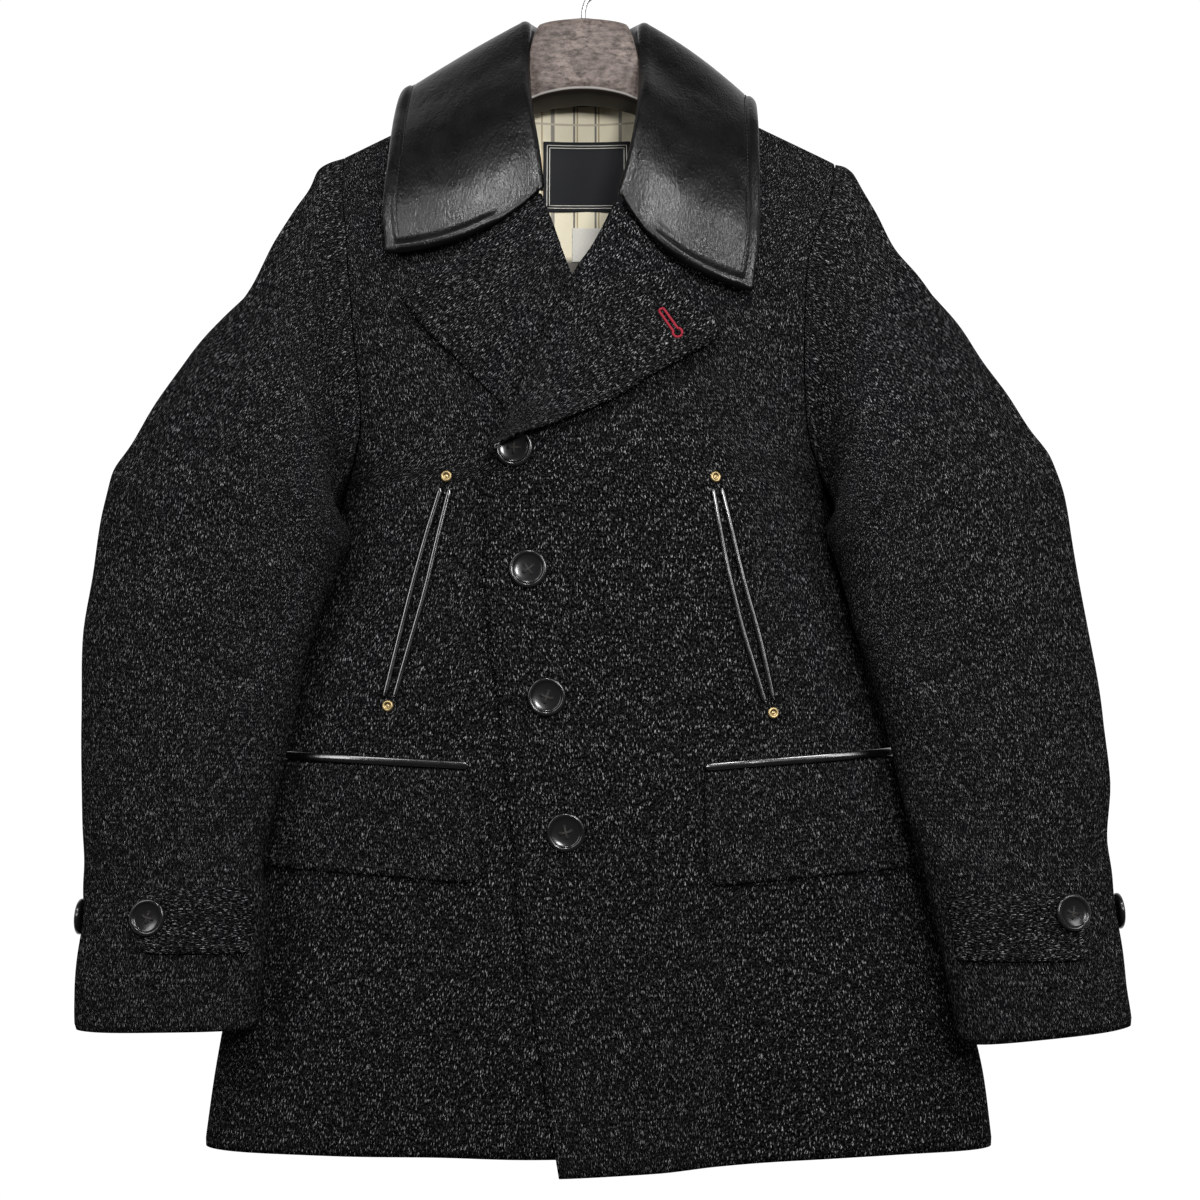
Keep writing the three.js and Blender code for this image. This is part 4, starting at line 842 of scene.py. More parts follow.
# Stripes up the lining: the middle of each, its width and its colour
LINING_STRIPES = [
    (-24.5, 3, (0.30, 0.27, 0.22, 1)),
    (-33, 1.4, (0.55, 0.44, 0.26, 1)),
    (-7.5, 1.6, (0.20, 0.18, 0.15, 1)),
    (-5.0, 1.2, (0.50, 0.40, 0.22, 1)),
    (9.5, 1.6, (0.20, 0.18, 0.15, 1)),
    (12.0, 1.2, (0.50, 0.40, 0.22, 1)),
    (29, 2.6, (0.34, 0.30, 0.24, 1)),
]
CROSS_STRIPE = (-139, 1.6, (0.60, 0.52, 0.38, 1))
DARK_LINING_TOP = -243
DARK_LINING_FADE = 5


def stripe(s, across, middle, width):
    distance = s.math("ABSOLUTE", s.math("SUBTRACT", across, middle * MM))
    return s.ramp(distance, width * MM * 0.4, width * MM * 0.6, 1.0, 0.0)


def lining_material():
    """Cream satin with narrow woven stripes; grey-brown low down."""
    s = Shader("lining")
    split = s.node("SeparateXYZ", {"Vector": s.object_place()})
    x = split.outputs["X"]
    z = split.outputs["Z"]
    grain = s.noise(s.object_place((1, 1, 0.2)), 900, 2)
    shade = s.blend(grain, (0.95, 0.85, 0.60, 1), (1.0, 0.93, 0.72, 1))
    stripes = [(x, *line) for line in LINING_STRIPES] + [(z, *CROSS_STRIPE)]
    for across, middle, width, color in stripes:
        shade = s.blend(stripe(s, across, middle, width), shade, color)
    low = (DARK_LINING_TOP - DARK_LINING_FADE) * MM
    shade = s.blend(s.ramp(z, low, DARK_LINING_TOP * MM, 1.0, 0.0), shade, (0.10, 0.085, 0.07, 1))
    s.set(Base_Color=shade, Roughness=0.55, Normal=s.bump(grain, 0.2, 0.3))
    return s.material


# Cloth pieces

# Rows and columns of the panels' grids, and of each sleeve's top and under pieces
FRONT_GRID = (190, 96)
BACK_GRID = (170, 130)
SLEEVE_GRID_ROWS = 150
SLEEVE_ROW_POWER = 1.15
TOP_SLEEVE_COLUMNS = 120
UNDER_SLEEVE_COLUMNS = 60

# Rows, and shares of a panel's width, over which its folds fade out at its edges
CALM_ROWS = 6
CALM_FRONT = 0.07
CALM_BACK = 0.05
CALM_SLEEVE = 0.06

# The least width of the overlap that takes half its columns, and the row by which the
# back's rows no longer follow the neck
SETTLED_WIDTH = 45
NECK_GRID_ROWS = 8

# Depths below the shoulder line at which the fronts' edges start to roll and stop, and
# where the fly drops at the hem
ROLL_RISE = (99, 108)
ROLL_FADE = 30
FLY_WIDTH = (-16, 200)
FLY_DROP = (640, 797)

# The cloth turned in at the armhole: its depths below the sleeve's surface, and how far
# past the sleeve's end each lies
TURNED_IN = [(6.5, 12), (5, 6), (3.9, 1.5), (2, -0.4)]


def panel_rows(count):
    """Rows of BODY, as even down the panel as the sections let them be."""
    levels = BODY.rows[:, 0]
    bent = np.sqrt(levels + 2)
    even = 0.5 * bent / bent[-1] + 0.5 * levels / levels[-1]
    even = (even - even[0]) / (even[-1] - even[0])
    return np.interp(np.linspace(0, 1, count), even, np.arange(len(levels)))


def panel_angle(side, row, inner_x, share):
    """Even across the underlap; on the overlap, half the columns lie over its lifted part."""
    start = body_angle(row, inner_x)
    end = outer_angle(FRONT, side, row)
    if side == LEFT_OF_VIEW:
        return mix(start, end, share)
    under_edge = UNDERLAP_EDGE.at(body_section(row)["level"])["x"]
    settled = np.maximum(inner_x + SETTLED_WIDTH, under_edge + LIFT_END)
    near = body_angle(row, mix(inner_x, settled, share / 0.5))
    far = mix(body_angle(row, settled), end, (share - 0.5) / 0.5)
    return np.where(share < 0.5, near, far)


def front_piece(side, name):
    edge = OVERLAP_EDGE if side == RIGHT_OF_VIEW else UNDERLAP_EDGE
    rows, columns = FRONT_GRID
    row, share = rows_and_columns(panel_rows(rows), np.linspace(0, 1, columns))
    level = body_section(row)["level"]
    roll_end = LAPELS[side]["roll_end"]
    rolled = smooth_step(*ROLL_RISE, level) * (1 - smooth_step(roll_end, roll_end + ROLL_FADE, level))
    inner_x = edge.at(level)["x"] + side * ROLL_ALLOWANCE * rolled
    angle = panel_angle(side, row, inner_x, share)
    point = body_point(FRONT, row, angle)
    normal = body_normal(FRONT, row, angle)
    normal[0, :, 1] = 0
    normal = unit(normal)
    x, z = point[..., 0], point[..., 2]
    away = smooth_step(0, CALM_ROWS, row)
    calm = np.where(row > UNDERARM_ROW, away, away * smooth_step(1, 1 - CALM_FRONT, share))
    reach = drape(x, z) * calm
    if side == RIGHT_OF_VIEW:
        reach = reach + overlap_lift(x, z)
        toward_edge = 1 - smooth_step(*FLY_WIDTH, x)
        point[..., 2] -= FLY_HEM_DROP * toward_edge * smooth_step(*FLY_DROP, level)
    outer = drawn_in(point + normal * reach[..., None])
    cloth_piece(name, outer, (0, -1, 0))


def back_piece():
    rows, columns = BACK_GRID
    row, share = rows_and_columns(panel_rows(rows), np.linspace(0, 1, columns))
    angle = mix(outer_angle(BACK, LEFT_OF_VIEW, row), outer_angle(BACK, RIGHT_OF_VIEW, row), share)
    x = body_point(BACK, row, angle)[..., 0]
    top = back_top_row(x)
    below_neck = mix(top, np.maximum(top, NECK_GRID_ROWS), row / NECK_GRID_ROWS)
    placed = np.where(row < NECK_GRID_ROWS, below_neck, row)
    angle = np.where((share > 0) & (share < 1) | (row < UNDERARM_ROW), body_angle(placed, x), angle)
    point = body_point(BACK, placed, angle)
    normal = body_normal(BACK, placed, angle)
    normal[0, :, 1] = np.where(np.abs(x[0]) > NECK_HALF, 0, normal[0, :, 1])
    calm = smooth_step(0, CALM_ROWS, row) * smooth_step(0, CALM_BACK, np.minimum(share, 1 - share))
    reach = drape(point[..., 0], point[..., 2]) * calm
    cloth_piece("back_body", drawn_in(point + unit(normal) * reach[..., None]), (0, 1, 0))


def sleeve_piece(side, name, start, end, eased, columns):
    """One piece of a sleeve between two angles; one of its edges eases to the front seam."""
    rows = np.linspace(0, 1, SLEEVE_GRID_ROWS) ** SLEEVE_ROW_POWER * SLEEVE_ROWS
    row, share = rows_and_columns(rows, np.linspace(0, 1, columns))
    turn = FRONT_SEAM_TURN * smooth_step(*FRONT_SEAM_ROWS, row)
    first = start + (turn if eased == "start" else 0)
    last = end + (turn if eased == "end" else 0)
    angle = mix(first, last, share)
    point = sleeve_point(side, row, angle)
    calm = np.minimum(1, np.minimum(share, 1 - share) / CALM_SLEEVE)
    reach = sleeve_creases(row, angle) * calm
    normal = sleeve_normal(side, row, angle)
    outer = drawn_in(point + normal * reach[..., None], (SEAM_GAP, 0, SEAM_GAP, SEAM_GAP))
    toward_body = unit(outer[0] - outer[2])
    turned_in = [outer[0] - normal[0] * depth + toward_body * inward for depth, inward in TURNED_IN]
    outer = np.concatenate([np.stack(turned_in), outer])
    cloth_piece(name, outer, (side * 0.2, -1 if eased == "end" else 1, 0))


# Lapels: where the roll starts and ends below the shoulder line, and the free edge
LAPELS = {
    RIGHT_OF_VIEW: {
        "roll_top": 108, "roll_end": 296, "edge": Sections("share x z lift", [
            [0, 98, -327, 9], [0.03, 99, -333, 9], [0.07, 96, -340, 9], [0.2, 76, -353, 8],
            [0.36, 48, -371.5, 7], [0.5, 26, -386, 6], [0.66, -4, -399, 6],
            [0.78, -26, -408, 8.5], [0.91, -48, -415.5, 14.2], [0.96, -58, -421, 15.6],
            [1, -65, -430.5, 13],
        ]),
    },
    LEFT_OF_VIEW: {
        "roll_top": 102, "roll_end": 188, "edge": Sections("share x z lift", [
            [0, -127, -303, 3.5], [0.05, -128.5, -308, 3.5], [0.12, -122, -318, 3],
            [0.25, -113, -330, 2.5], [0.5, -87, -357, 1.5], [0.7, -69, -375, 0.6],
            [0.85, -59, -385, 0], [1, -52, -392, 0],
        ]),
    },
}

# The radius of the roll, how sharply a lapel curls at its top and at its break, how far it
# stands off, and how far its facing runs inside and eases away
ROLL_RADIUS = 4.5
TOP_CURL = 2
BREAK_CURL = 0.8
OVER_EASE = 0.4
FACING_INSIDE = 12
FACING_EASE = 1.2

# The soft dent along the right lapel: its depth, where it lies from the roll's top to its
# end, its half width, and where it starts, as shares of the lapel's reach
LAPEL_DENT = 1.4
LAPEL_DENT_LINE = (0.55, 0.05)
LAPEL_DENT_WIDTH = 0.13
LAPEL_DENT_START = 0.2

# Rows of a lapel's grid, and its columns on the facing, round the roll and out to the edge
LAPEL_ROWS = 90
FACING_SHARES = (1, 0.6, 0.2)
ROLL_COLUMNS = 11
LAPEL_COLUMNS = 56


def lapel_edge(side, share):
    """The roll point, the direction out over the front, the reach, and the lift."""
    lapel = LAPELS[side]
    level = mix(lapel["roll_top"], lapel["roll_end"], share)
    table = OVERLAP_EDGE if side == RIGHT_OF_VIEW else UNDERLAP_EDGE
    roll = np.stack([table.at(level)["x"], SHOULDER_TOP - level], axis=-1)
    edge = lapel["edge"].at(share)
    across = np.stack([edge["x"], edge["z"]], axis=-1) - roll
    reach = np.linalg.norm(across, axis=-1)
    return roll, across / reach[..., None], reach, edge["lift"]


def lapel_grid(side, share, portion):
    """Outer points of a lapel out over the front; portion runs 0 to 1 to its free edge."""
    roll, across, reach, lift = lapel_edge(side, share)
    spot = roll + across * (ROLL_RADIUS + portion * (reach - ROLL_RADIUS))[..., None]
    curl = OVER_EASE + lift * portion ** mix(TOP_CURL, BREAK_CURL, share)
    dent = LAPEL_DENT * bell(portion - mix(*LAPEL_DENT_LINE, share), LAPEL_DENT_WIDTH)
    dent = dent * smooth_step(0, LAPEL_DENT_START, portion) * (side == LEFT_OF_VIEW)
    outward = ROLL_RADIUS - CLOTH / 2 + curl - dent
    return front_point(side, spot[..., 0], spot[..., 1], outward)


def lapel_piece(side, name):
    """Columns from the facing inside the front, round the roll, and out to the free edge."""
    share = np.linspace(0, 1, LAPEL_ROWS)
    columns = []
    roll, across = lapel_edge(side, share)[:2]

    def inside(inward, depth):
        spot = roll + across * (ROLL_RADIUS + inward)
        return front_point(side, spot[..., 0], spot[..., 1], depth)

    middle = -CLOTH / 2
    for portion in FACING_SHARES:
        columns.append(inside(portion * FACING_INSIDE, middle - ROLL_RADIUS - portion * FACING_EASE))
    for turn in np.radians(np.linspace(-90, 90, ROLL_COLUMNS)):
        columns.append(inside(-ROLL_RADIUS * math.cos(turn), middle + ROLL_RADIUS * math.sin(turn)))
    for portion in np.linspace(0.03, 1, LAPEL_COLUMNS):
        columns.append(lapel_grid(side, share, np.full(share.shape, portion)))
    outer = np.stack(columns, axis=1)
    cloth_piece(name, outer, (0, -1, 0), turned=side == LEFT_OF_VIEW)


# The collar

# Its fold, the middle of its fall and its free edge, from one front corner to the other
COLLAR_LINES = ("fold", "mid", "edge")
COLLAR = Sections("fold_x fold_y fold_z mid_x mid_y mid_z edge_x edge_y edge_z", [
    [-29, -60, -223, -69, -68, -255, -143, -66, -274],
    [-33, -54, -191, -82, -64, -224, -147, -58, -235],
    [-39, -42, -152, -91, -50, -181, -145, -44, -194],
    [-43, -20, -107, -96, -28, -138, -144, -20, -155],
    [-43, 5, -67, -92, 3, -94, -138, 5, -124],
    [-36, 28, -62, -70, 34, -90, -112, 42, -138],
    [-19, 41, -66, -38, 52, -92, -60, 60, -142],
    [-1, 45, -68, -1, 57, -94, -1, 64, -144],
    [18, 41, -66, 37, 52, -92, 60, 60, -142],
    [37, 28, -62, 70, 34, -90, 112, 42, -138],
    [45, 5, -68, 91, 3, -97, 132, 5, -134],
    [45, -20, -109, 97, -28, -146, 133, -26, -159],
    [42, -42, -152, 92, -50, -191, 132, -44, -209],
    [36, -54, -191, 79, -66, -236, 130, -60, -258],
    [27, -60, -227, 57, -70, -269, 123, -72, -304],
])

# Where the foot of its stand meets the body
NECK_SEAM = Sections("row level x", [
    [0, 100, -31], [1, 72, -50], [2, 45, -61], [3, 18, -66.5], [4, 0, -68], [5, 0, -55],
    [6, 0, -30], [7, 0, 0], [8, 0, 30], [9, 0, 55], [10, 0, 68], [11, 18, 66.5],
    [12, 45, 60], [13, 72, 47.5], [14, 103, 27],
])

# Its rows, those at each end that lie on the fronts, the radius of its fold, how far its
# fall clears the fronts and its foot the neck, and the raised border with a groove inside it
COLLAR_ROWS = 14
FRONT_NECK_ROWS = 4
FOLD_RADIUS = 4
FALL_CLEARANCE = 3.6
NECK_CLEARANCE = 2.4
FALL_SETTLE = (0.15, 0.5)
LEAST_FACING = 0.4
TOP_ROW_END = 0.01
BORDER_WIDTH = 9
BORDER_RISE = 2.0
BORDER_START = (2.25, 2.4)
GROOVE_DEPTH = 0.8
GROOVE_WIDTH = 1.0
GROOVE_INSET = 0.4
STITCH_INSET = 1.3

# Thread along the border: each stitch, how far it stands off, and where the ends' rows start
COLLAR_STITCH = {"length": 2.6, "gap": 0.9, "radius": 0.28, "rise": 0.15}
END_STITCH_START = 2.42

# Points of the grid along the collar, up the stand, round the fold and down the fall
COLLAR_GRID_ROWS = 190
STAND_COLUMNS = 10
FOLD_COLUMNS = 9
FALL_COLUMNS = 62
FALL_POWER = 1.3


def cloth_middle(face, row, angle):
    return body_point(face, row, angle) - body_normal(face, row, angle) * CLOTH / 2


def neck_point(row, fold):
    seam = NECK_SEAM.at(row)
    on_back = (row > FRONT_NECK_ROWS) & (row < COLLAR_ROWS - FRONT_NECK_ROWS)
    front = cloth_middle(FRONT, *body_place(FRONT, seam["x"], SHOULDER_TOP - seam["level"]))
    back_row = back_top_row(seam["x"])
    back = cloth_middle(BACK, back_row, body_angle(back_row, seam["x"]))
    point = np.where(on_back[..., None], back, front)
    return point + unit(fold - point) * NECK_CLEARANCE


def clear_of_front(point, clearance):
    """Moves points that lie too close to the front's cloth forward, off it."""
    row, angle = body_place(FRONT, point[..., 0], point[..., 2])
    cloth = body_point(FRONT, row, angle)[..., 1]
    facing = np.maximum(LEAST_FACING, -body_normal(FRONT, row, angle)[..., 1])
    pushed = np.minimum(point[..., 1], cloth - clearance / facing)
    near = (point[..., 1] <= 0) & (row >= TOP_ROW_END)
    return stack(point[..., 0], np.where(near, pushed, point[..., 1]), point[..., 2])


def collar_point(row, across):
    """Middle of the leather; across runs 0 to 1 up the stand, to 2 round the fold, to 3 down."""
    row, across = np.broadcast_arrays(np.asarray(row, float), np.asarray(across, float))
    line = COLLAR.at_row(row)
    fold, middle, edge = (stack(*(line[f"{part}_{axis}"] for axis in "xyz")) for part in COLLAR_LINES)
    neck = neck_point(row, fold)
    to_fall = unit(middle - fold)
    down = unit(unit(neck - fold) + to_fall)
    outward = unit(to_fall - down * np.sum(to_fall * down, axis=-1, keepdims=True))
    centre = fold + down * FOLD_RADIUS
    up = mix(neck, centre - outward * FOLD_RADIUS, np.clip(across, 0, 1)[..., None])
    turn = (np.clip(across - 1, 0, 1) * math.pi)[..., None]
    over = centre - outward * FOLD_RADIUS * np.cos(turn) - down * FOLD_RADIUS * np.sin(turn)
    start = centre + outward * FOLD_RADIUS
    t = np.clip(across - 2, 0, 1)[..., None]
    upper = np.linalg.norm(start - middle, axis=-1, keepdims=True)
    passing = upper / (upper + np.linalg.norm(middle - edge, axis=-1, keepdims=True))
    pull = (middle - start * (1 - passing) ** 2 - edge * passing ** 2) / (2 * passing * (1 - passing))
    fall = start * (1 - t) ** 2 + pull * 2 * t * (1 - t) + edge * t * t
    fall = clear_of_front(fall, FALL_CLEARANCE * smooth_step(*FALL_SETTLE, t[..., 0]))
    return np.where(across[..., None] < 1, up, np.where(across[..., None] < 2, over, fall))


def puff(distance):
    """A border's height from 0 to 1, round across its width."""
    return np.maximum(0, 1 - (2 * distance / BORDER_WIDTH - 1) ** 2) ** 0.5


def collar_columns():
    stand = np.linspace(0, 1, STAND_COLUMNS)
    fold = np.linspace(1, 2, FOLD_COLUMNS + 2)[1:-1]
    fall = 3 - np.linspace(1, 0, FALL_COLUMNS) ** FALL_POWER
    return np.concatenate([stand, fold, fall])


def collar_piece():
    row, across = rows_and_columns(np.linspace(0, COLLAR_ROWS, COLLAR_GRID_ROWS), collar_columns())
    middle = collar_point(row, across)
    to_edge = np.linalg.norm(middle - middle[:, -1:], axis=-1)
    to_start = np.linalg.norm(middle - middle[:1], axis=-1)
    to_end = np.linalg.norm(middle - middle[-1:], axis=-1)
    to_side = np.where(row < COLLAR_ROWS / 2, to_start, to_end)
    free = smooth_step(*BORDER_START, across)
    border = np.maximum(puff(to_edge), free * puff(to_side))
    inside = np.where(free > 0.5, np.minimum(to_edge, to_side), to_edge)
    groove = bell(inside - BORDER_WIDTH - GROOVE_INSET, GROOVE_WIDTH)
    rise = (BORDER_RISE * border - GROOVE_DEPTH * groove) * (across > 2)
    normals = grid_normals(middle)
    if normals[COLLAR_GRID_ROWS // 2, STAND_COLUMNS + FOLD_COLUMNS + FALL_COLUMNS // 2, 1] < 0:
        normals = -normals
    outer = middle + normals * LEATHER / 2
    piece = wall("collar_leather", outer, LEATHER, PALETTE["leather"], (0, 1, 0), rise=rise)
    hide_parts("collar")
    stitches = collar_stitches(across, middle, normals, to_edge, to_side)


def collar_stitches(across, middle, normals, to_edge, to_side):
    """Thread along the inside of the raised border, all round the free edges."""
    inset = BORDER_WIDTH + STITCH_INSET
    face = middle + normals * (LEATHER / 2 + COLLAR_STITCH["rise"])
    stitch, gap = COLLAR_STITCH["length"], COLLAR_STITCH["gap"]
    along = [np.argmin(np.abs(to_edge[r] - inset)) for r in range(len(middle))]
    keep = [r for r in range(len(middle)) if to_side[r, along[r]] > inset]
    lines = dashes([face[r, along[r]] for r in keep], stitch, gap)
    for half in (slice(0, len(middle) // 2), slice(len(middle) // 2, len(middle))):
        found = []
        for c in range(middle.shape[1]):
            if across[0, c] < END_STITCH_START or to_edge[half][:, c].min() < 1:
                continue
            if to_edge[half][0, c] < inset and to_edge[half][-1, c] < inset:
                continue
            r = half.start + np.argmin(np.abs(to_side[half][:, c] - inset))
            if to_edge[r, c] > inset:
                found.append(face[r, c])
        if len(found) > 2:
            lines += dashes(found, stitch, gap)
    return tube_mesh("collar_stitches", lines, COLLAR_STITCH["radius"], PALETTE["thread"])


# Pieces that lie on the fronts

# The flaps' corners in x and z
FLAPS = {
    LEFT_OF_VIEW: {"inner_top": (-79, -650), "inner_bottom": (-70, -728.5),
                   "outer_top": (-215, -642.5), "outer_bottom": (-227, -717)},
    RIGHT_OF_VIEW: {"inner_top": (86, -651), "inner_bottom": (88, -730.5),
                    "outer_top": (227, -640), "outer_bottom": (243, -717.5)},
}

# A flap's rounded corner, its height, and how its lower edge curls
FLAP_CORNER = 11
FLAP_HEIGHT = 77
FLAP_CURL = 0.8
FLAP_CURL_RATE = 7
LAYER_GAP = 0.6

# Rows of a flap's grid, and its columns over the rounded corner and over the rest
FLAP_ROWS = 44
FLAP_CORNER_SHARE = 0.08
FLAP_CORNER_COLUMNS = 14
FLAP_COLUMNS = 66

# Thread on cloth: each stitch, how far it stands off, its distance from a free edge, and
# the points of a line before it is cut into stitches
STITCH = {"length": 2.6, "gap": 1.0, "radius": 0.26, "rise": 0.1}
STITCH_EDGE = 6.5
STITCH_POINTS = 120
FLAP_STITCH_ENDS = (0.04, 0.99)


def cloth_stitches(name, lines, length=STITCH["length"]):
    pieces = sum((dashes(line, length, STITCH["gap"]) for line in lines), [])
    return tube_mesh(name, pieces, STITCH["radius"], PALETTE["cloth_thread"])


def flap_width(side):
    return abs(FLAPS[side]["outer_bottom"][0] - FLAPS[side]["inner_bottom"][0])


def flap_place(side, across, down):
    flap = {name: np.array(spot, float) for name, spot in FLAPS[side].items()}
    across = np.asarray(across)[..., None]
    top = mix(flap["inner_top"], flap["outer_top"], across)
    bottom = mix(flap["inner_bottom"], flap["outer_bottom"], across)
    return mix(top, bottom, np.asarray(down)[..., None])


def flap_surface(side, across, down, outward):
    spot = flap_place(side, across, down)
    to_corner = np.maximum(0, FLAP_CORNER - across * flap_width(side))
    rounding = FLAP_CORNER - np.sqrt(FLAP_CORNER ** 2 - to_corner ** 2)
    curl = FLAP_CURL * np.sin(across * FLAP_CURL_RATE + 1) * down ** 2 + across ** 2
    return front_point(side, spot[..., 0], spot[..., 1] + rounding * down, outward + curl)


def flap_piece(side, name):
    corner = np.linspace(0, FLAP_CORNER_SHARE, FLAP_CORNER_COLUMNS)[:-1]
    columns = np.concatenate([corner, np.linspace(FLAP_CORNER_SHARE, 1, FLAP_COLUMNS)])
    down, across = rows_and_columns(np.linspace(0, 1, FLAP_ROWS), columns)
    outer = flap_surface(side, across, down, LAYER_GAP + CLOTH)
    end_share = STITCH_EDGE / flap_width(side)
    low_share = 1 - STITCH_EDGE / FLAP_HEIGHT
    height = LAYER_GAP + CLOTH + STITCH["rise"]
    bottom = np.linspace(end_share, FLAP_STITCH_ENDS[1], STITCH_POINTS)
    rise = np.linspace(FLAP_STITCH_ENDS[0], low_share, STITCH_POINTS // 2)
    stitches = cloth_stitches(name + "_stitches", [
        flap_surface(side, bottom, np.full(bottom.shape, low_share), height),
        flap_surface(side, np.full(rise.shape, end_share), rise, height),
    ])
    cloth_piece(name, outer, (0, -1, 0))


# Points along and across a leather strip, the points over which its line is eased, and the
# share of its length over which its ends round off
STRIP_GRID = (90, 15)
STRIP_EASE = 15
STRIP_BLUNT = 0.02
LEAST_BLUNT = 0.02
STRIP_THICKNESS = 0.9


def strip_piece(side, name, ends, width, height, taper=1.0):
    """A domed leather strip along points on the front, given as x and z."""
    line = np.array(ends, float)
    rows, columns = STRIP_GRID
    spots = read_along(line, np.linspace(0, reach_along(line)[-1], rows))
    kernel = np.ones(STRIP_EASE) / STRIP_EASE
    margin = STRIP_EASE // 2
    padded = np.pad(spots, ((margin, margin), (0, 0)), mode="reflect", reflect_type="odd")
    spots = np.stack([np.convolve(column, kernel, "valid") for column in padded.T], axis=1)
    along = unit(np.gradient(spots, axis=0))
    square = np.stack([-along[:, 1], along[:, 0]], axis=1)
    over = np.linspace(-1, 1, columns)
    share = np.linspace(0, 1, rows)
    to_end = np.minimum(share, 1 - share) / STRIP_BLUNT
    blunt = np.minimum(1, np.sqrt(np.maximum(LEAST_BLUNT, to_end)))
    reach_across = (over[None, :] * (width / 2 * mix(1, taper, share) * blunt)[:, None])[..., None]
    places = spots[:, None] + square[:, None] * reach_across
    dome = height * np.sqrt(np.maximum(0, 1 - over ** 2)) + STRIP_THICKNESS
    outer = front_point(side, places[..., 0], places[..., 1], LAYER_GAP + dome[None, :])
    piece = wall(name + "_leather", outer, STRIP_THICKNESS, PALETTE["piping"], (0, -1, 0))
    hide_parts(name)


# Middle lines of the slanted pockets' lips, and their rivets, in x and z
LIPS = {
    LEFT_OF_VIEW: {
        "outer": [(-100.7, -447), (-112, -484), (-122, -521.5), (-131, -558), (-140.3, -597)],
        "inner": [(-94.3, -448), (-103, -484), (-111.5, -521.5), (-122, -558), (-133.2, -598)],
        "rivets": [(-97.2, -439), (-138, -603.5)],
    },
    RIGHT_OF_VIEW: {
        "inner": [(93.2, -448), (98, -477), (104, -507), (114, -548), (130.4, -602)],
        "outer": [(99.6, -447), (108, -483), (116.5, -519), (127, -556), (136.4, -599.5)],
        "rivets": [(95.2, -440), (136.3, -608.5)],
    },
}

# Width and height of the lips and of a flap's jet, and the jet's rise over the flap and
# its growth outward
LIP = {"width": 4.6, "height": 2.0}
JET = {"width": 6.2, "height": 2.2, "rise": 4.2, "taper": 1.15}
JET_POINTS = 30

# A rivet's cap: its gap from the cloth, and its radii and heights from rim to middle
RIVET_GAP = 0.3
RIVET_SIDES = 32
RIVET_PROFILE = [
    (0.01, 0), (4.2, 0), (4.25, 0.8), (3.9, 1.5), (3.2, 1.8), (2.5, 1.75), (1.9, 1.2),
    (1.7, 0.7), (1.0, 0.65), (0.6, 1.0), (0.01, 1.1),
]


# Buttons and cuff straps

# A button's rim ring, a step, and its dished middle, as shares of its radius and thickness
BUTTON_PROFILE = [
    (0.01, 0), (0.80, 0), (0.95, 0.16), (1.0, 0.5), (0.985, 0.8), (0.93, 0.97), (0.87, 1.0),
    (0.81, 0.95), (0.77, 0.80), (0.74, 0.66), (0.70, 0.60), (0.55, 0.50), (0.35, 0.44), (0.01, 0.42),
]

# Height of a button's dished face and where its holes lie, as shares of its thickness and
# radius; then how far the holes' discs stand off (black discs of painted shade that stand for
# the holes), the thread's radius, and how far its strands lie apart, stand up and sink in
BUTTON_FACE = 0.43
HOLE_RISE = (0.02, 0.12)
HOLE_PLACE = 0.2
HOLE_RADIUS = 0.11
BUTTON_THREAD = 0.28
STRAND_SHIFT = 0.35
STRAND_RISE = 0.45
STRAND_SINK = 0.2


def strand(first, last, normal, shift):
    """Thread from one hole up over the button's middle and down into another."""
    sideways = np.cross(unit(last - first), normal) * shift
    middle = (first + last) / 2 + sideways + normal * STRAND_RISE
    ends = [hole + sideways - normal * STRAND_SINK for hole in (first, last)]
    bends = [mix(hole, middle, 0.5) + normal * STRAND_SINK + sideways / 2 for hole in (first, last)]
    return [ends[0], bends[0], middle, bends[1], ends[1]]


def button_set(name, radius, spot, normal, tilt):
    """A four-hole button with crossed thread; its holes are black discs of painted shade."""
    profile = [(radius * share, BUTTON_THICKNESS * height) for share, height in BUTTON_PROFILE]
    piece = turned_mesh(name + "_disc", profile, spot, normal, PALETTE["button"])
    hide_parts(name)
    side, up = frame_on(normal)
    turned = [math.cos(tilt) * side + math.sin(tilt) * up, math.cos(tilt) * up - math.sin(tilt) * side]
    face = spot + normal * (BUTTON_THICKNESS * BUTTON_FACE)
    reach = radius * HOLE_PLACE
    holes = []
    for a in (-1, 1):
        for b in (-1, 1):
            holes.append(face + turned[0] * a * reach + turned[1] * b * reach)
    discs = [[hole + normal * rise for rise in HOLE_RISE] for hole in holes]
    # Painted shade: black discs stand for the holes, which are not cut
    tube_mesh(name + "_hole_shade_discs", discs, radius * HOLE_RADIUS, PALETTE["dark"], sides=16)
    strands = []
    for first, last in ((0, 3), (1, 2)):
        for shift in (-STRAND_SHIFT, STRAND_SHIFT):
            strands.append(strand(holes[first], holes[last], normal, shift))
    tube_mesh(name + "_thread", strands, BUTTON_THREAD, PALETTE["dark_thread"])


# Places of the front buttons in x and z, the buttons' radii, and their gap from the cloth
FRONT_BUTTONS = [(-47.8, -420.8), (-37.7, -507), (-24.4, -597.5), (-10.9, -692)]
FRONT_BUTTON_RADIUS = 13.7
CUFF_BUTTON_RADIUS = 12.7
BUTTON_GAP = 0.4

# How far the cuff buttons and the first front button are turned, and each next one more
CUFF_BUTTON_TURN = 0.5
FRONT_BUTTON_TURN = 0.8
NEXT_BUTTON_TURN = 0.6

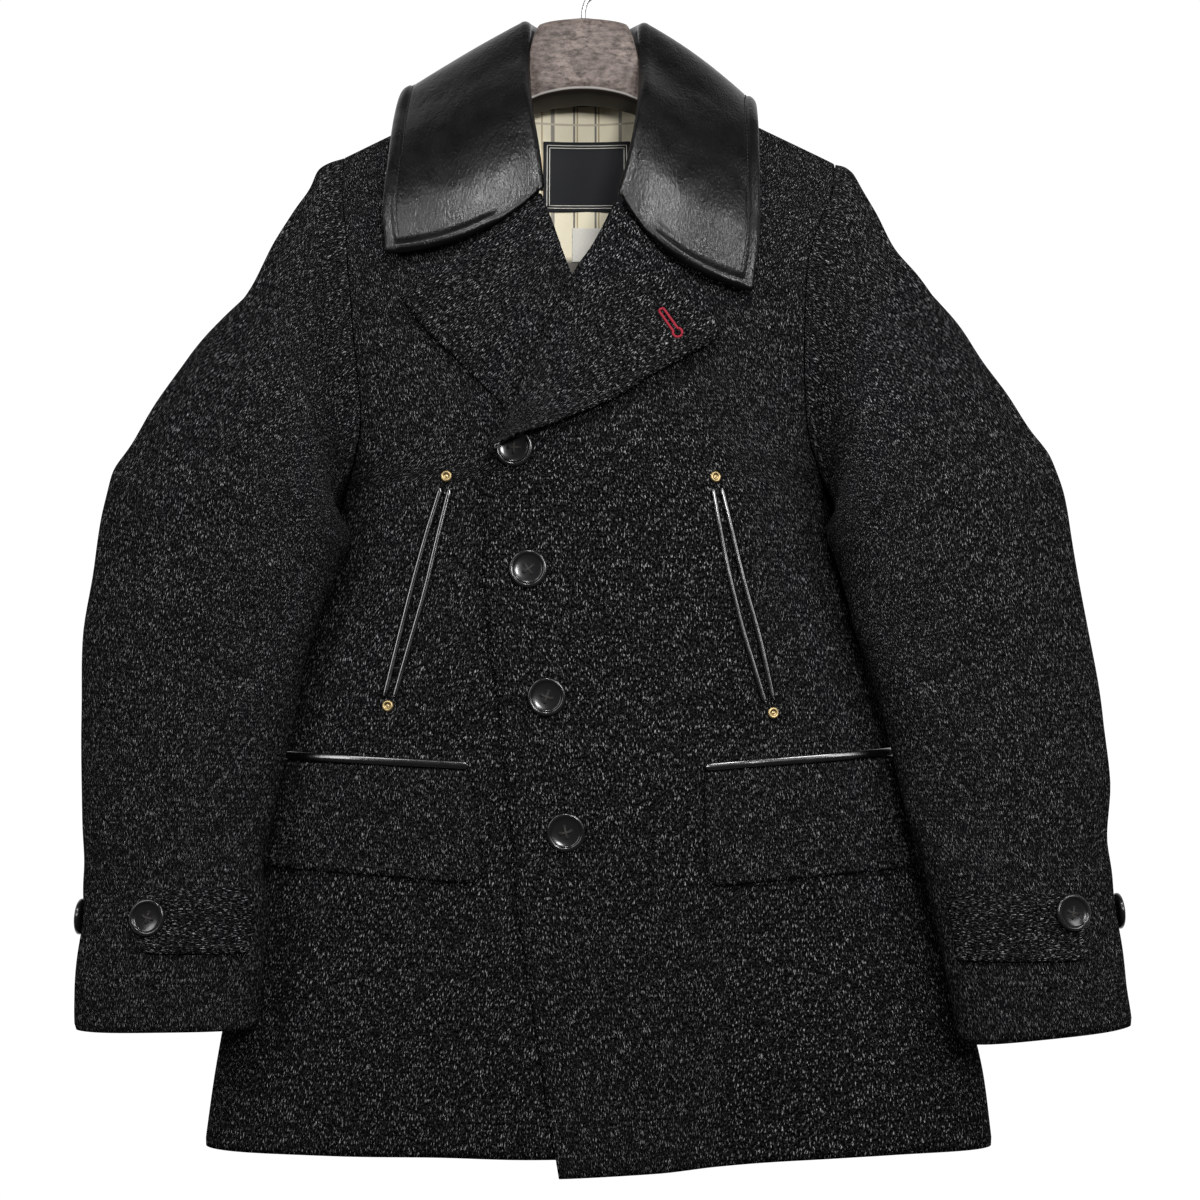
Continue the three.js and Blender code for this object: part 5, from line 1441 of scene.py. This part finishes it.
# Cuff straps by row and angle of the sleeve: edges, tip, and a button on the strap and one
# on the sleeve's outer edge
CUFFS = {
    LEFT_OF_VIEW: {
        "top": 17.45, "bottom": 19.15, "tip": 1.28, "button": (18.2, 1.46), "edge_button": (18.3, 0.0),
    },
    RIGHT_OF_VIEW: {
        "top": 18.22, "bottom": 19.57, "tip": 1.0, "button": (18.62, 1.25), "edge_button": (18.65, 0.0),
    },
}
STRAP_START = 2.6

# A strap's rounded tip: where it starts along the strap, how square and how narrow it is
TIP_START = 0.8
TIP_POWER = 2.4
LEAST_TIP = 0.03

# Rows along a strap before its tip and over it, and columns across it
STRAP_ROWS = 50
TIP_ROWS = 30
TIP_ROW_POWER = 1.6
STRAP_COLUMNS = 30

# A strap's stitches: their length, how far they lie from its middle as a share of half its
# width, and where their lines start and end along it
STRAP_STITCH = 2.4
STRAP_STITCH_PLACE = 0.78
STRAP_STITCH_ENDS = (0.02, 0.96)


def sleeve_spot(side, row, angle, outward):
    row, angle = np.broadcast_arrays(np.asarray(row, float), np.asarray(angle, float))
    reach = (sleeve_creases(row, angle) + outward)[..., None]
    return sleeve_point(side, row, angle) + sleeve_normal(side, row, angle) * reach


def strap_grid(side, along, up, outward):
    cuff = CUFFS[side]
    near_tip = np.clip((along - TIP_START) / (1 - TIP_START), 0, 1)
    half = 0.5 * np.sqrt(np.maximum(LEAST_TIP, 1 - near_tip ** TIP_POWER))
    row = mix(cuff["top"], cuff["bottom"], 0.5 + up * half)
    return sleeve_spot(side, row, mix(STRAP_START, cuff["tip"], along), outward)


def strap_piece(side, name):
    tip = 1 - np.linspace(1, 0, TIP_ROWS) ** TIP_ROW_POWER * (1 - TIP_START)
    rows = np.concatenate([np.linspace(0, TIP_START, STRAP_ROWS)[:-1], tip])
    along, up = rows_and_columns(rows, np.linspace(-1, 1, STRAP_COLUMNS))
    outer = strap_grid(side, along, up, LAYER_GAP + CLOTH)
    places = np.linspace(*STRAP_STITCH_ENDS, STITCH_POINTS)
    height = LAYER_GAP + CLOTH + STITCH["rise"]
    lines = [strap_grid(side, places, np.full(places.shape, edge), height)
             for edge in (-STRAP_STITCH_PLACE, STRAP_STITCH_PLACE)]
    stitches = cloth_stitches(name + "_stitches", lines, STRAP_STITCH)
    cloth_piece(name, outer, (0, -1, 0))


# Inside the neck: the edges of the lining and of the labels, how thick each is, how far
# inside it lies, and its slack
LINING = {
    "left": -54, "right": 56, "top": -124, "bottom": -300,
    "thick": 0.9, "depth": CLOTH + 1.2, "slack": 0.5,
}
NECK_PATCH = {
    "left": -32.5, "right": 37.7, "top": -152, "bottom": -207.5,
    "thick": 0.7, "depth": CLOTH + 2.6, "slack": 0,
}
CARE_PATCH = {
    "left": -9.3, "right": 24, "top": -220, "bottom": -247,
    "thick": 0.5, "depth": CLOTH + 2.6, "slack": 0,
}
PATCH_POINTS = 60
PATCH_SLACK_RISE = (-135, -160)
PATCH_WAVES = [(1, 1 / 7, 1 / 40, 0)]

# The label's two woven border lines by their distance from its edge, then their points a
# side, how far they stand off, and their radius
FRAME_INSETS = {"neck_label_frame": 3.0, "neck_label_inner_frame": 5.0}
FRAME_POINTS = 20
FRAME_RISE = 1.0
FRAME_RADIUS = 0.36


def back_place(x, z, depth):
    row, angle = body_place(BACK, x, z)
    return body_point(BACK, row, angle) - body_normal(BACK, row, angle) * np.asarray(depth)[..., None]


def patch_piece(name, patch, slot):
    down = np.linspace(patch["top"], patch["bottom"], PATCH_POINTS)
    z, x = rows_and_columns(down, np.linspace(patch["left"], patch["right"], PATCH_POINTS))
    slack = patch["slack"] * (1 + ripple(PATCH_WAVES, x, z)) * smooth_step(*PATCH_SLACK_RISE, z)
    outer = back_place(x, z, patch["depth"] + patch["thick"] + slack)
    piece = wall(name + "_cloth", outer, patch["thick"], PALETTE[slot], (0, -1, 0))
    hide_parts(name)


def patch_frame(name, patch, inset):
    """A thin woven border line round a label."""
    left, right = patch["left"] + inset, patch["right"] - inset
    top, bottom = patch["top"] - inset, patch["bottom"] + inset
    ends = np.array([(left, top), (right, top), (right, bottom), (left, bottom), (left, top)])
    x, z = np.concatenate([np.linspace(a, b, FRAME_POINTS) for a, b in zip(ends, ends[1:])]).T
    line = back_place(x, z, np.full(x.shape, patch["depth"] + FRAME_RISE))
    tube_mesh(name, [line], FRAME_RADIUS, PALETTE["white_label"], sides=4)


# Hanger and hook

# Half the hanger by distance from its middle: its top, its bottom and half its depth
HANGER = Sections("x top bottom half", [
    [0, -70, -130, 20], [20, -72, -132, 20], [33, -75, -135.5, 19.5], [37.5, -82, -137, 18],
    [40.5, -93, -138.5, 17], [44, -107, -140.5, 16], [54, -125, -146, 15], [68, -131, -153, 15.5],
    [110, -148, -172, 17], [150, -168, -190, 17.5], [168, -177, -198, 17.5], [176, -183, -200, 12],
])

# How square its section is, where its neck ends and its arm ends, and how its end rounds off
HANGER_SQUARE = 6
HANGER_NECK = 68
HANGER_REACH = 176
HANGER_END = 6
LEAST_END = 0.12

# Points along half the hanger over its neck and its arm, the step between the two, and
# points round it
NECK_POINTS = 60
ARM_POINTS = 50
ARM_STEP = 3
HANGER_SIDES = 64


def hanger_piece():
    neck = np.linspace(0, HANGER_NECK, NECK_POINTS)
    arm = np.linspace(HANGER_NECK + ARM_STEP, HANGER_REACH, ARM_POINTS)
    half_places = np.concatenate([neck, arm])
    places = np.concatenate([-half_places[:0:-1], half_places])
    turns = np.linspace(0, 2 * math.pi, HANGER_SIDES, endpoint=False)
    section = HANGER.at(np.abs(places))
    middle = ((section["top"] + section["bottom"]) / 2)[:, None]
    tall = ((section["top"] - section["bottom"]) / 2)[:, None]
    ends = np.clip((HANGER_REACH - np.abs(places)) / HANGER_END, LEAST_END, 1)[:, None] ** 0.5
    y = section["half"][:, None] * signed_power(np.sin(turns), 2 / HANGER_SQUARE) * ends
    z = middle + tall * signed_power(np.cos(turns), 2 / HANGER_SQUARE) * ends
    points = stack(places[:, None], y, z).reshape(-1, 3)
    faces = ring_faces(0, len(places), HANGER_SIDES)
    piece = plain_mesh("hanger_body", points, faces, PALETTE["hanger"])
    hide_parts("hanger")


# The hook's stem from the hanger up, then the turns of its crook in degrees
HOOK_RADIUS = 22
HOOK_WIRE = 2.0
HOOK_STEM = [(0, 0, -69.4), (0, 0, -61.4), (2, 0, -52), (11, 0, -43)]
HOOK_TURNS = (-35, -5, 25, 55, 90, 125, 155, 185, 210)
HOOK_POINTS = 120
HOOK_SIDES = 20


def hook_piece():
    centre = HOOK_WIRE - HOOK_RADIUS
    turns = np.radians(HOOK_TURNS)
    crook = stack(HOOK_RADIUS * np.cos(turns), 0, centre + HOOK_RADIUS * np.sin(turns))
    points = np.concatenate([HOOK_STEM, crook])
    reach = reach_along(points)
    table = Sections("reach x y z", np.column_stack([reach, points]))
    line = table.at(np.linspace(0, reach[-1], HOOK_POINTS))
    path = stack(line["x"], line["y"], line["z"])
    piece = tube_mesh("hook_wire", [path], HOOK_WIRE, PALETTE["hook"], HOOK_SIDES)
    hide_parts("hanger_hook")


# Small needlework

# The lapel's buttonhole: its ends in x and z, half its width, the radius of its eye, how far
# the eye's middle lies before the end and how far round it goes in degrees, how far the
# sides stop short of the end, and how far the bar stands out at the start
KEYHOLE = {
    "start": (57, -318.5), "end": (69.5, -337.5), "half": 1.95,
    "eye": 3.4, "eye_inset": 1.5, "eye_turn": 125, "side_inset": 4, "bar": 0.5,
}
KEYHOLE_THREAD = 0.95
KEYHOLE_SIDE_POINTS = 22
KEYHOLE_EYE_POINTS = 16

# How far the thread stands off, and the part of the lapel that it is laid on: its start,
# end and points along the lapel and across it
KEYHOLE_RISE = 0.35
KEYHOLE_SHARES = (0, 0.4, 60)
KEYHOLE_PORTIONS = (0.4, 1, 90)


def keyhole_stitches():
    """A red keyhole buttonhole worked across the lapel's corner."""
    start = np.array(KEYHOLE["start"], float)
    end = np.array(KEYHOLE["end"], float)
    along = (end - start) / np.linalg.norm(end - start)
    square = np.array([-along[1], along[0]])
    length = np.linalg.norm(end - start)
    sides = np.linspace(0, length - KEYHOLE["side_inset"], KEYHOLE_SIDE_POINTS)
    turns = np.radians(np.linspace(KEYHOLE["eye_turn"], -KEYHOLE["eye_turn"], KEYHOLE_EYE_POINTS))
    middle = length - KEYHOLE["eye_inset"]
    eye = KEYHOLE["eye"]
    outline = [(place, KEYHOLE["half"]) for place in sides]
    outline += [(middle + eye * math.cos(turn), eye * math.sin(turn)) for turn in turns]
    outline += [(place, -KEYHOLE["half"]) for place in sides[::-1]]
    outline += [(-KEYHOLE["bar"], 0), outline[0]]
    flat = np.array([start + along * a + square * b for a, b in outline])
    tube_mesh("lapel_buttonhole", [lapel_height(flat)], KEYHOLE_THREAD, PALETTE["red_thread"])


def lapel_height(flat):
    """The outer face of the left lapel at points given as x and z, from its own grid."""
    share, portion = rows_and_columns(np.linspace(*KEYHOLE_SHARES), np.linspace(*KEYHOLE_PORTIONS))
    grid = lapel_grid(RIGHT_OF_VIEW, share, portion).reshape(-1, 3)
    result = []
    for x, z in flat:
        nearest = np.argmin((grid[:, 0] - x) ** 2 + (grid[:, 2] - z) ** 2)
        result.append((x, grid[nearest, 1] - KEYHOLE_RISE, z))
    return np.array(result)


# The lapels' edge stitches: their distance from the edge, how far they stand off, where
# they start and end along it, and the least width of a lapel that they are laid on
LAPEL_STITCH_INSET = 6
LAPEL_STITCH_RISE = 0.15
LAPEL_STITCH_ENDS = (0.01, 0.99)
LAPEL_STITCH_POINTS = 200
LEAST_LAPEL = 14


def lapel_stitches(side, name):
    share = np.linspace(*LAPEL_STITCH_ENDS, LAPEL_STITCH_POINTS)
    reach = lapel_edge(side, share)[2]
    edge = lapel_grid(side, share, 1 - LAPEL_STITCH_INSET / np.maximum(reach, LEAST_LAPEL))
    edge[:, 1] -= LAPEL_STITCH_RISE
    cloth_stitches(name, [edge])


# Materials by what they are for
PALETTE = {}


def fill_palette():
    PALETTE["tweed"] = tweed_material()
    PALETTE["leather"] = leather_material()
    PALETTE["piping"] = piping_material()
    PALETTE["button"] = button_material()
    PALETTE["brass"] = brass_material()
    PALETTE["hook"] = steel_material()
    PALETTE["hanger"] = hanger_material()
    PALETTE["lining"] = lining_material()
    PALETTE["black_label"] = plain_cloth("black_label", (0.008, 0.009, 0.012, 1))
    PALETTE["white_label"] = plain_cloth("white_label", (0.90, 0.87, 0.79, 1))
    PALETTE["thread"] = plain_cloth("black_thread", (0.012, 0.012, 0.012, 1), 1500)
    PALETTE["cloth_thread"] = plain_cloth("charcoal_thread", (0.006, 0.006, 0.007, 1), 1500)
    PALETTE["dark_thread"] = plain_cloth("button_thread", (0.05, 0.045, 0.04, 1), 1500)
    PALETTE["red_thread"] = plain_cloth("red_thread", (0.30, 0.008, 0.025, 1), 1500)
    # Painted shade for the buttons' holes
    PALETTE["dark"] = plain_cloth("painted_hole_shade", (0.002, 0.002, 0.002, 1))


def pocket_pieces(side, label):
    """The flap pocket with its jet, and the slanted pocket's lips and rivets."""
    flap_piece(side, f"flap_{label}")
    top = [flap_place(side, share, 0.0) + (0, JET["rise"]) for share in np.linspace(0, 1, JET_POINTS)]
    strip_piece(side, f"flap_jet_{label}", top, JET["width"], JET["height"], JET["taper"])
    for lip in ("outer", "inner"):
        strip_piece(side, f"pocket_lip_{lip}_{label}", LIPS[side][lip], LIP["width"], LIP["height"])
    for index, place in enumerate(LIPS[side]["rivets"], 1):
        x, z = np.array(place, float)
        name = f"rivet_{label}_{index}"
        spot = front_point(side, x, z, RIVET_GAP)
        normal = front_normal(side, x, z)
        cap = turned_mesh(name + "_cap", RIVET_PROFILE, spot, normal, PALETTE["brass"], RIVET_SIDES)
        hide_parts(name)


def cuff_buttons(side, label):
    cuff = CUFFS[side]
    places = ((cuff["button"], BUTTON_GAP + CLOTH + LAYER_GAP), (cuff["edge_button"], BUTTON_GAP))
    for index, (place, outward) in enumerate(places, 1):
        spot = sleeve_spot(side, *place, outward)
        normal = sleeve_normal(side, *np.array(place, float)[:, None])[0]
        button_set(f"cuff_button_{label}_{index}", CUFF_BUTTON_RADIUS, spot, normal, CUFF_BUTTON_TURN)


def front_buttons():
    for index, (x, z) in enumerate(np.array(FRONT_BUTTONS)):
        spot = front_point(RIGHT_OF_VIEW, x, z, BUTTON_GAP)
        normal = front_normal(RIGHT_OF_VIEW, x, z)
        turn = FRONT_BUTTON_TURN + NEXT_BUTTON_TURN * index
        button_set(f"front_button_{index + 1}", FRONT_BUTTON_RADIUS, spot, normal, turn)


def build_coat():
    front_piece(RIGHT_OF_VIEW, "front_overlap")
    front_piece(LEFT_OF_VIEW, "front_underlap")
    back_piece()
    collar_piece()
    for side, label in ((LEFT_OF_VIEW, "right"), (RIGHT_OF_VIEW, "left")):
        hind = armhole_angle(BACK, side, HIND_SEAM_ROW)
        sleeve_piece(side, f"top_sleeve_{label}", hind, math.pi, "end", TOP_SLEEVE_COLUMNS)
        under_end = 2 * math.pi + hind
        sleeve_piece(side, f"under_sleeve_{label}", math.pi, under_end, "start", UNDER_SLEEVE_COLUMNS)
        lapel_piece(side, f"lapel_{label}")
        lapel_stitches(side, f"lapel_stitches_{label}")
        pocket_pieces(side, label)
        strap_piece(side, f"cuff_strap_{label}")
        cuff_buttons(side, label)
    front_buttons()
    keyhole_stitches()
    patch_piece("back_neck_lining", LINING, "lining")
    patch_piece("neck_label", NECK_PATCH, "black_label")
    patch_piece("care_label", CARE_PATCH, "white_label")
    for name, inset in FRAME_INSETS.items():
        patch_frame(name, NECK_PATCH, inset)
    hanger_piece()
    hook_piece()


# Light and camera


def set_world():
    """White behind the coat, dim light from the front."""
    world = bpy.data.worlds.new("room")
    bpy.context.scene.world = world
    world.use_nodes = True
    tree = world.node_tree
    background = tree.nodes["Background"]
    place = tree.nodes.new("ShaderNodeTexCoord")
    split = tree.nodes.new("ShaderNodeSeparateXYZ")
    tree.links.new(place.outputs["Generated"], split.inputs[0])
    ramp = tree.nodes.new("ShaderNodeMapRange")
    tree.links.new(split.outputs["Y"], ramp.inputs["Value"])
    for name, value in (("From Min", -0.1), ("From Max", 0.35), ("To Min", 0.06), ("To Max", 1.05)):
        ramp.inputs[name].default_value = value
    tree.links.new(ramp.outputs["Result"], background.inputs["Strength"])
    background.inputs["Color"].default_value = (1, 1, 1, 1)


# Name, place, target and size in metres, and power in watts
LIGHTS = [
    ("key", (-0.05, -1.2, 0.55), (0, 0, -0.45), (0.2, 0.15), 8),
    ("upper_right", (0.78, -0.95, 0.42), (0.1, 0, -0.35), (0.3, 0.3), 6),
    ("upper_left", (-0.78, -0.95, 0.42), (-0.1, 0, -0.35), (0.4, 0.4), 4),
    ("right", (1.25, -1.2, 0.0), (0.05, 0, -0.55), (0.4, 0.9), 7),
    ("left", (-1.25, -1.2, -0.1), (-0.05, 0, -0.55), (0.4, 0.9), 8),
    ("front", (0.5, -2.1, -0.1), (0, 0, -0.5), (0.35, 0.35), 23),
]


def area_light(name, spot, target, size, power):
    light = bpy.data.lights.new(name, "AREA")
    light.shape = "RECTANGLE"
    light.size, light.size_y = size
    light.energy = power
    thing = bpy.data.objects.new(name, light)
    bpy.context.scene.collection.objects.link(thing)
    thing.location = spot
    thing.rotation_euler = (Vector(target) - Vector(spot)).to_track_quat("-Z", "Y").to_euler()


CAMERA_SPOT = (0.013, -1.273, -0.655)
CAMERA_TILT = 6
LENS = 51
SENSOR = 36


def set_camera():
    camera = bpy.data.cameras.new("camera")
    camera.lens = LENS
    camera.sensor_width = SENSOR
    thing = bpy.data.objects.new("camera", camera)
    bpy.context.scene.collection.objects.link(thing)
    thing.location = CAMERA_SPOT
    thing.rotation_euler = (math.radians(90 + CAMERA_TILT), 0, 0)
    bpy.context.scene.camera = thing


def clear_scene():
    for thing in list(bpy.data.objects):
        bpy.data.objects.remove(thing)


def main():
    clear_scene()
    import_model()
    fill_palette()
    build_coat()
    set_world()
    for light in LIGHTS:
        area_light(*light)
    set_camera()
    bpy.context.scene.view_settings.view_transform = "Standard"


main()
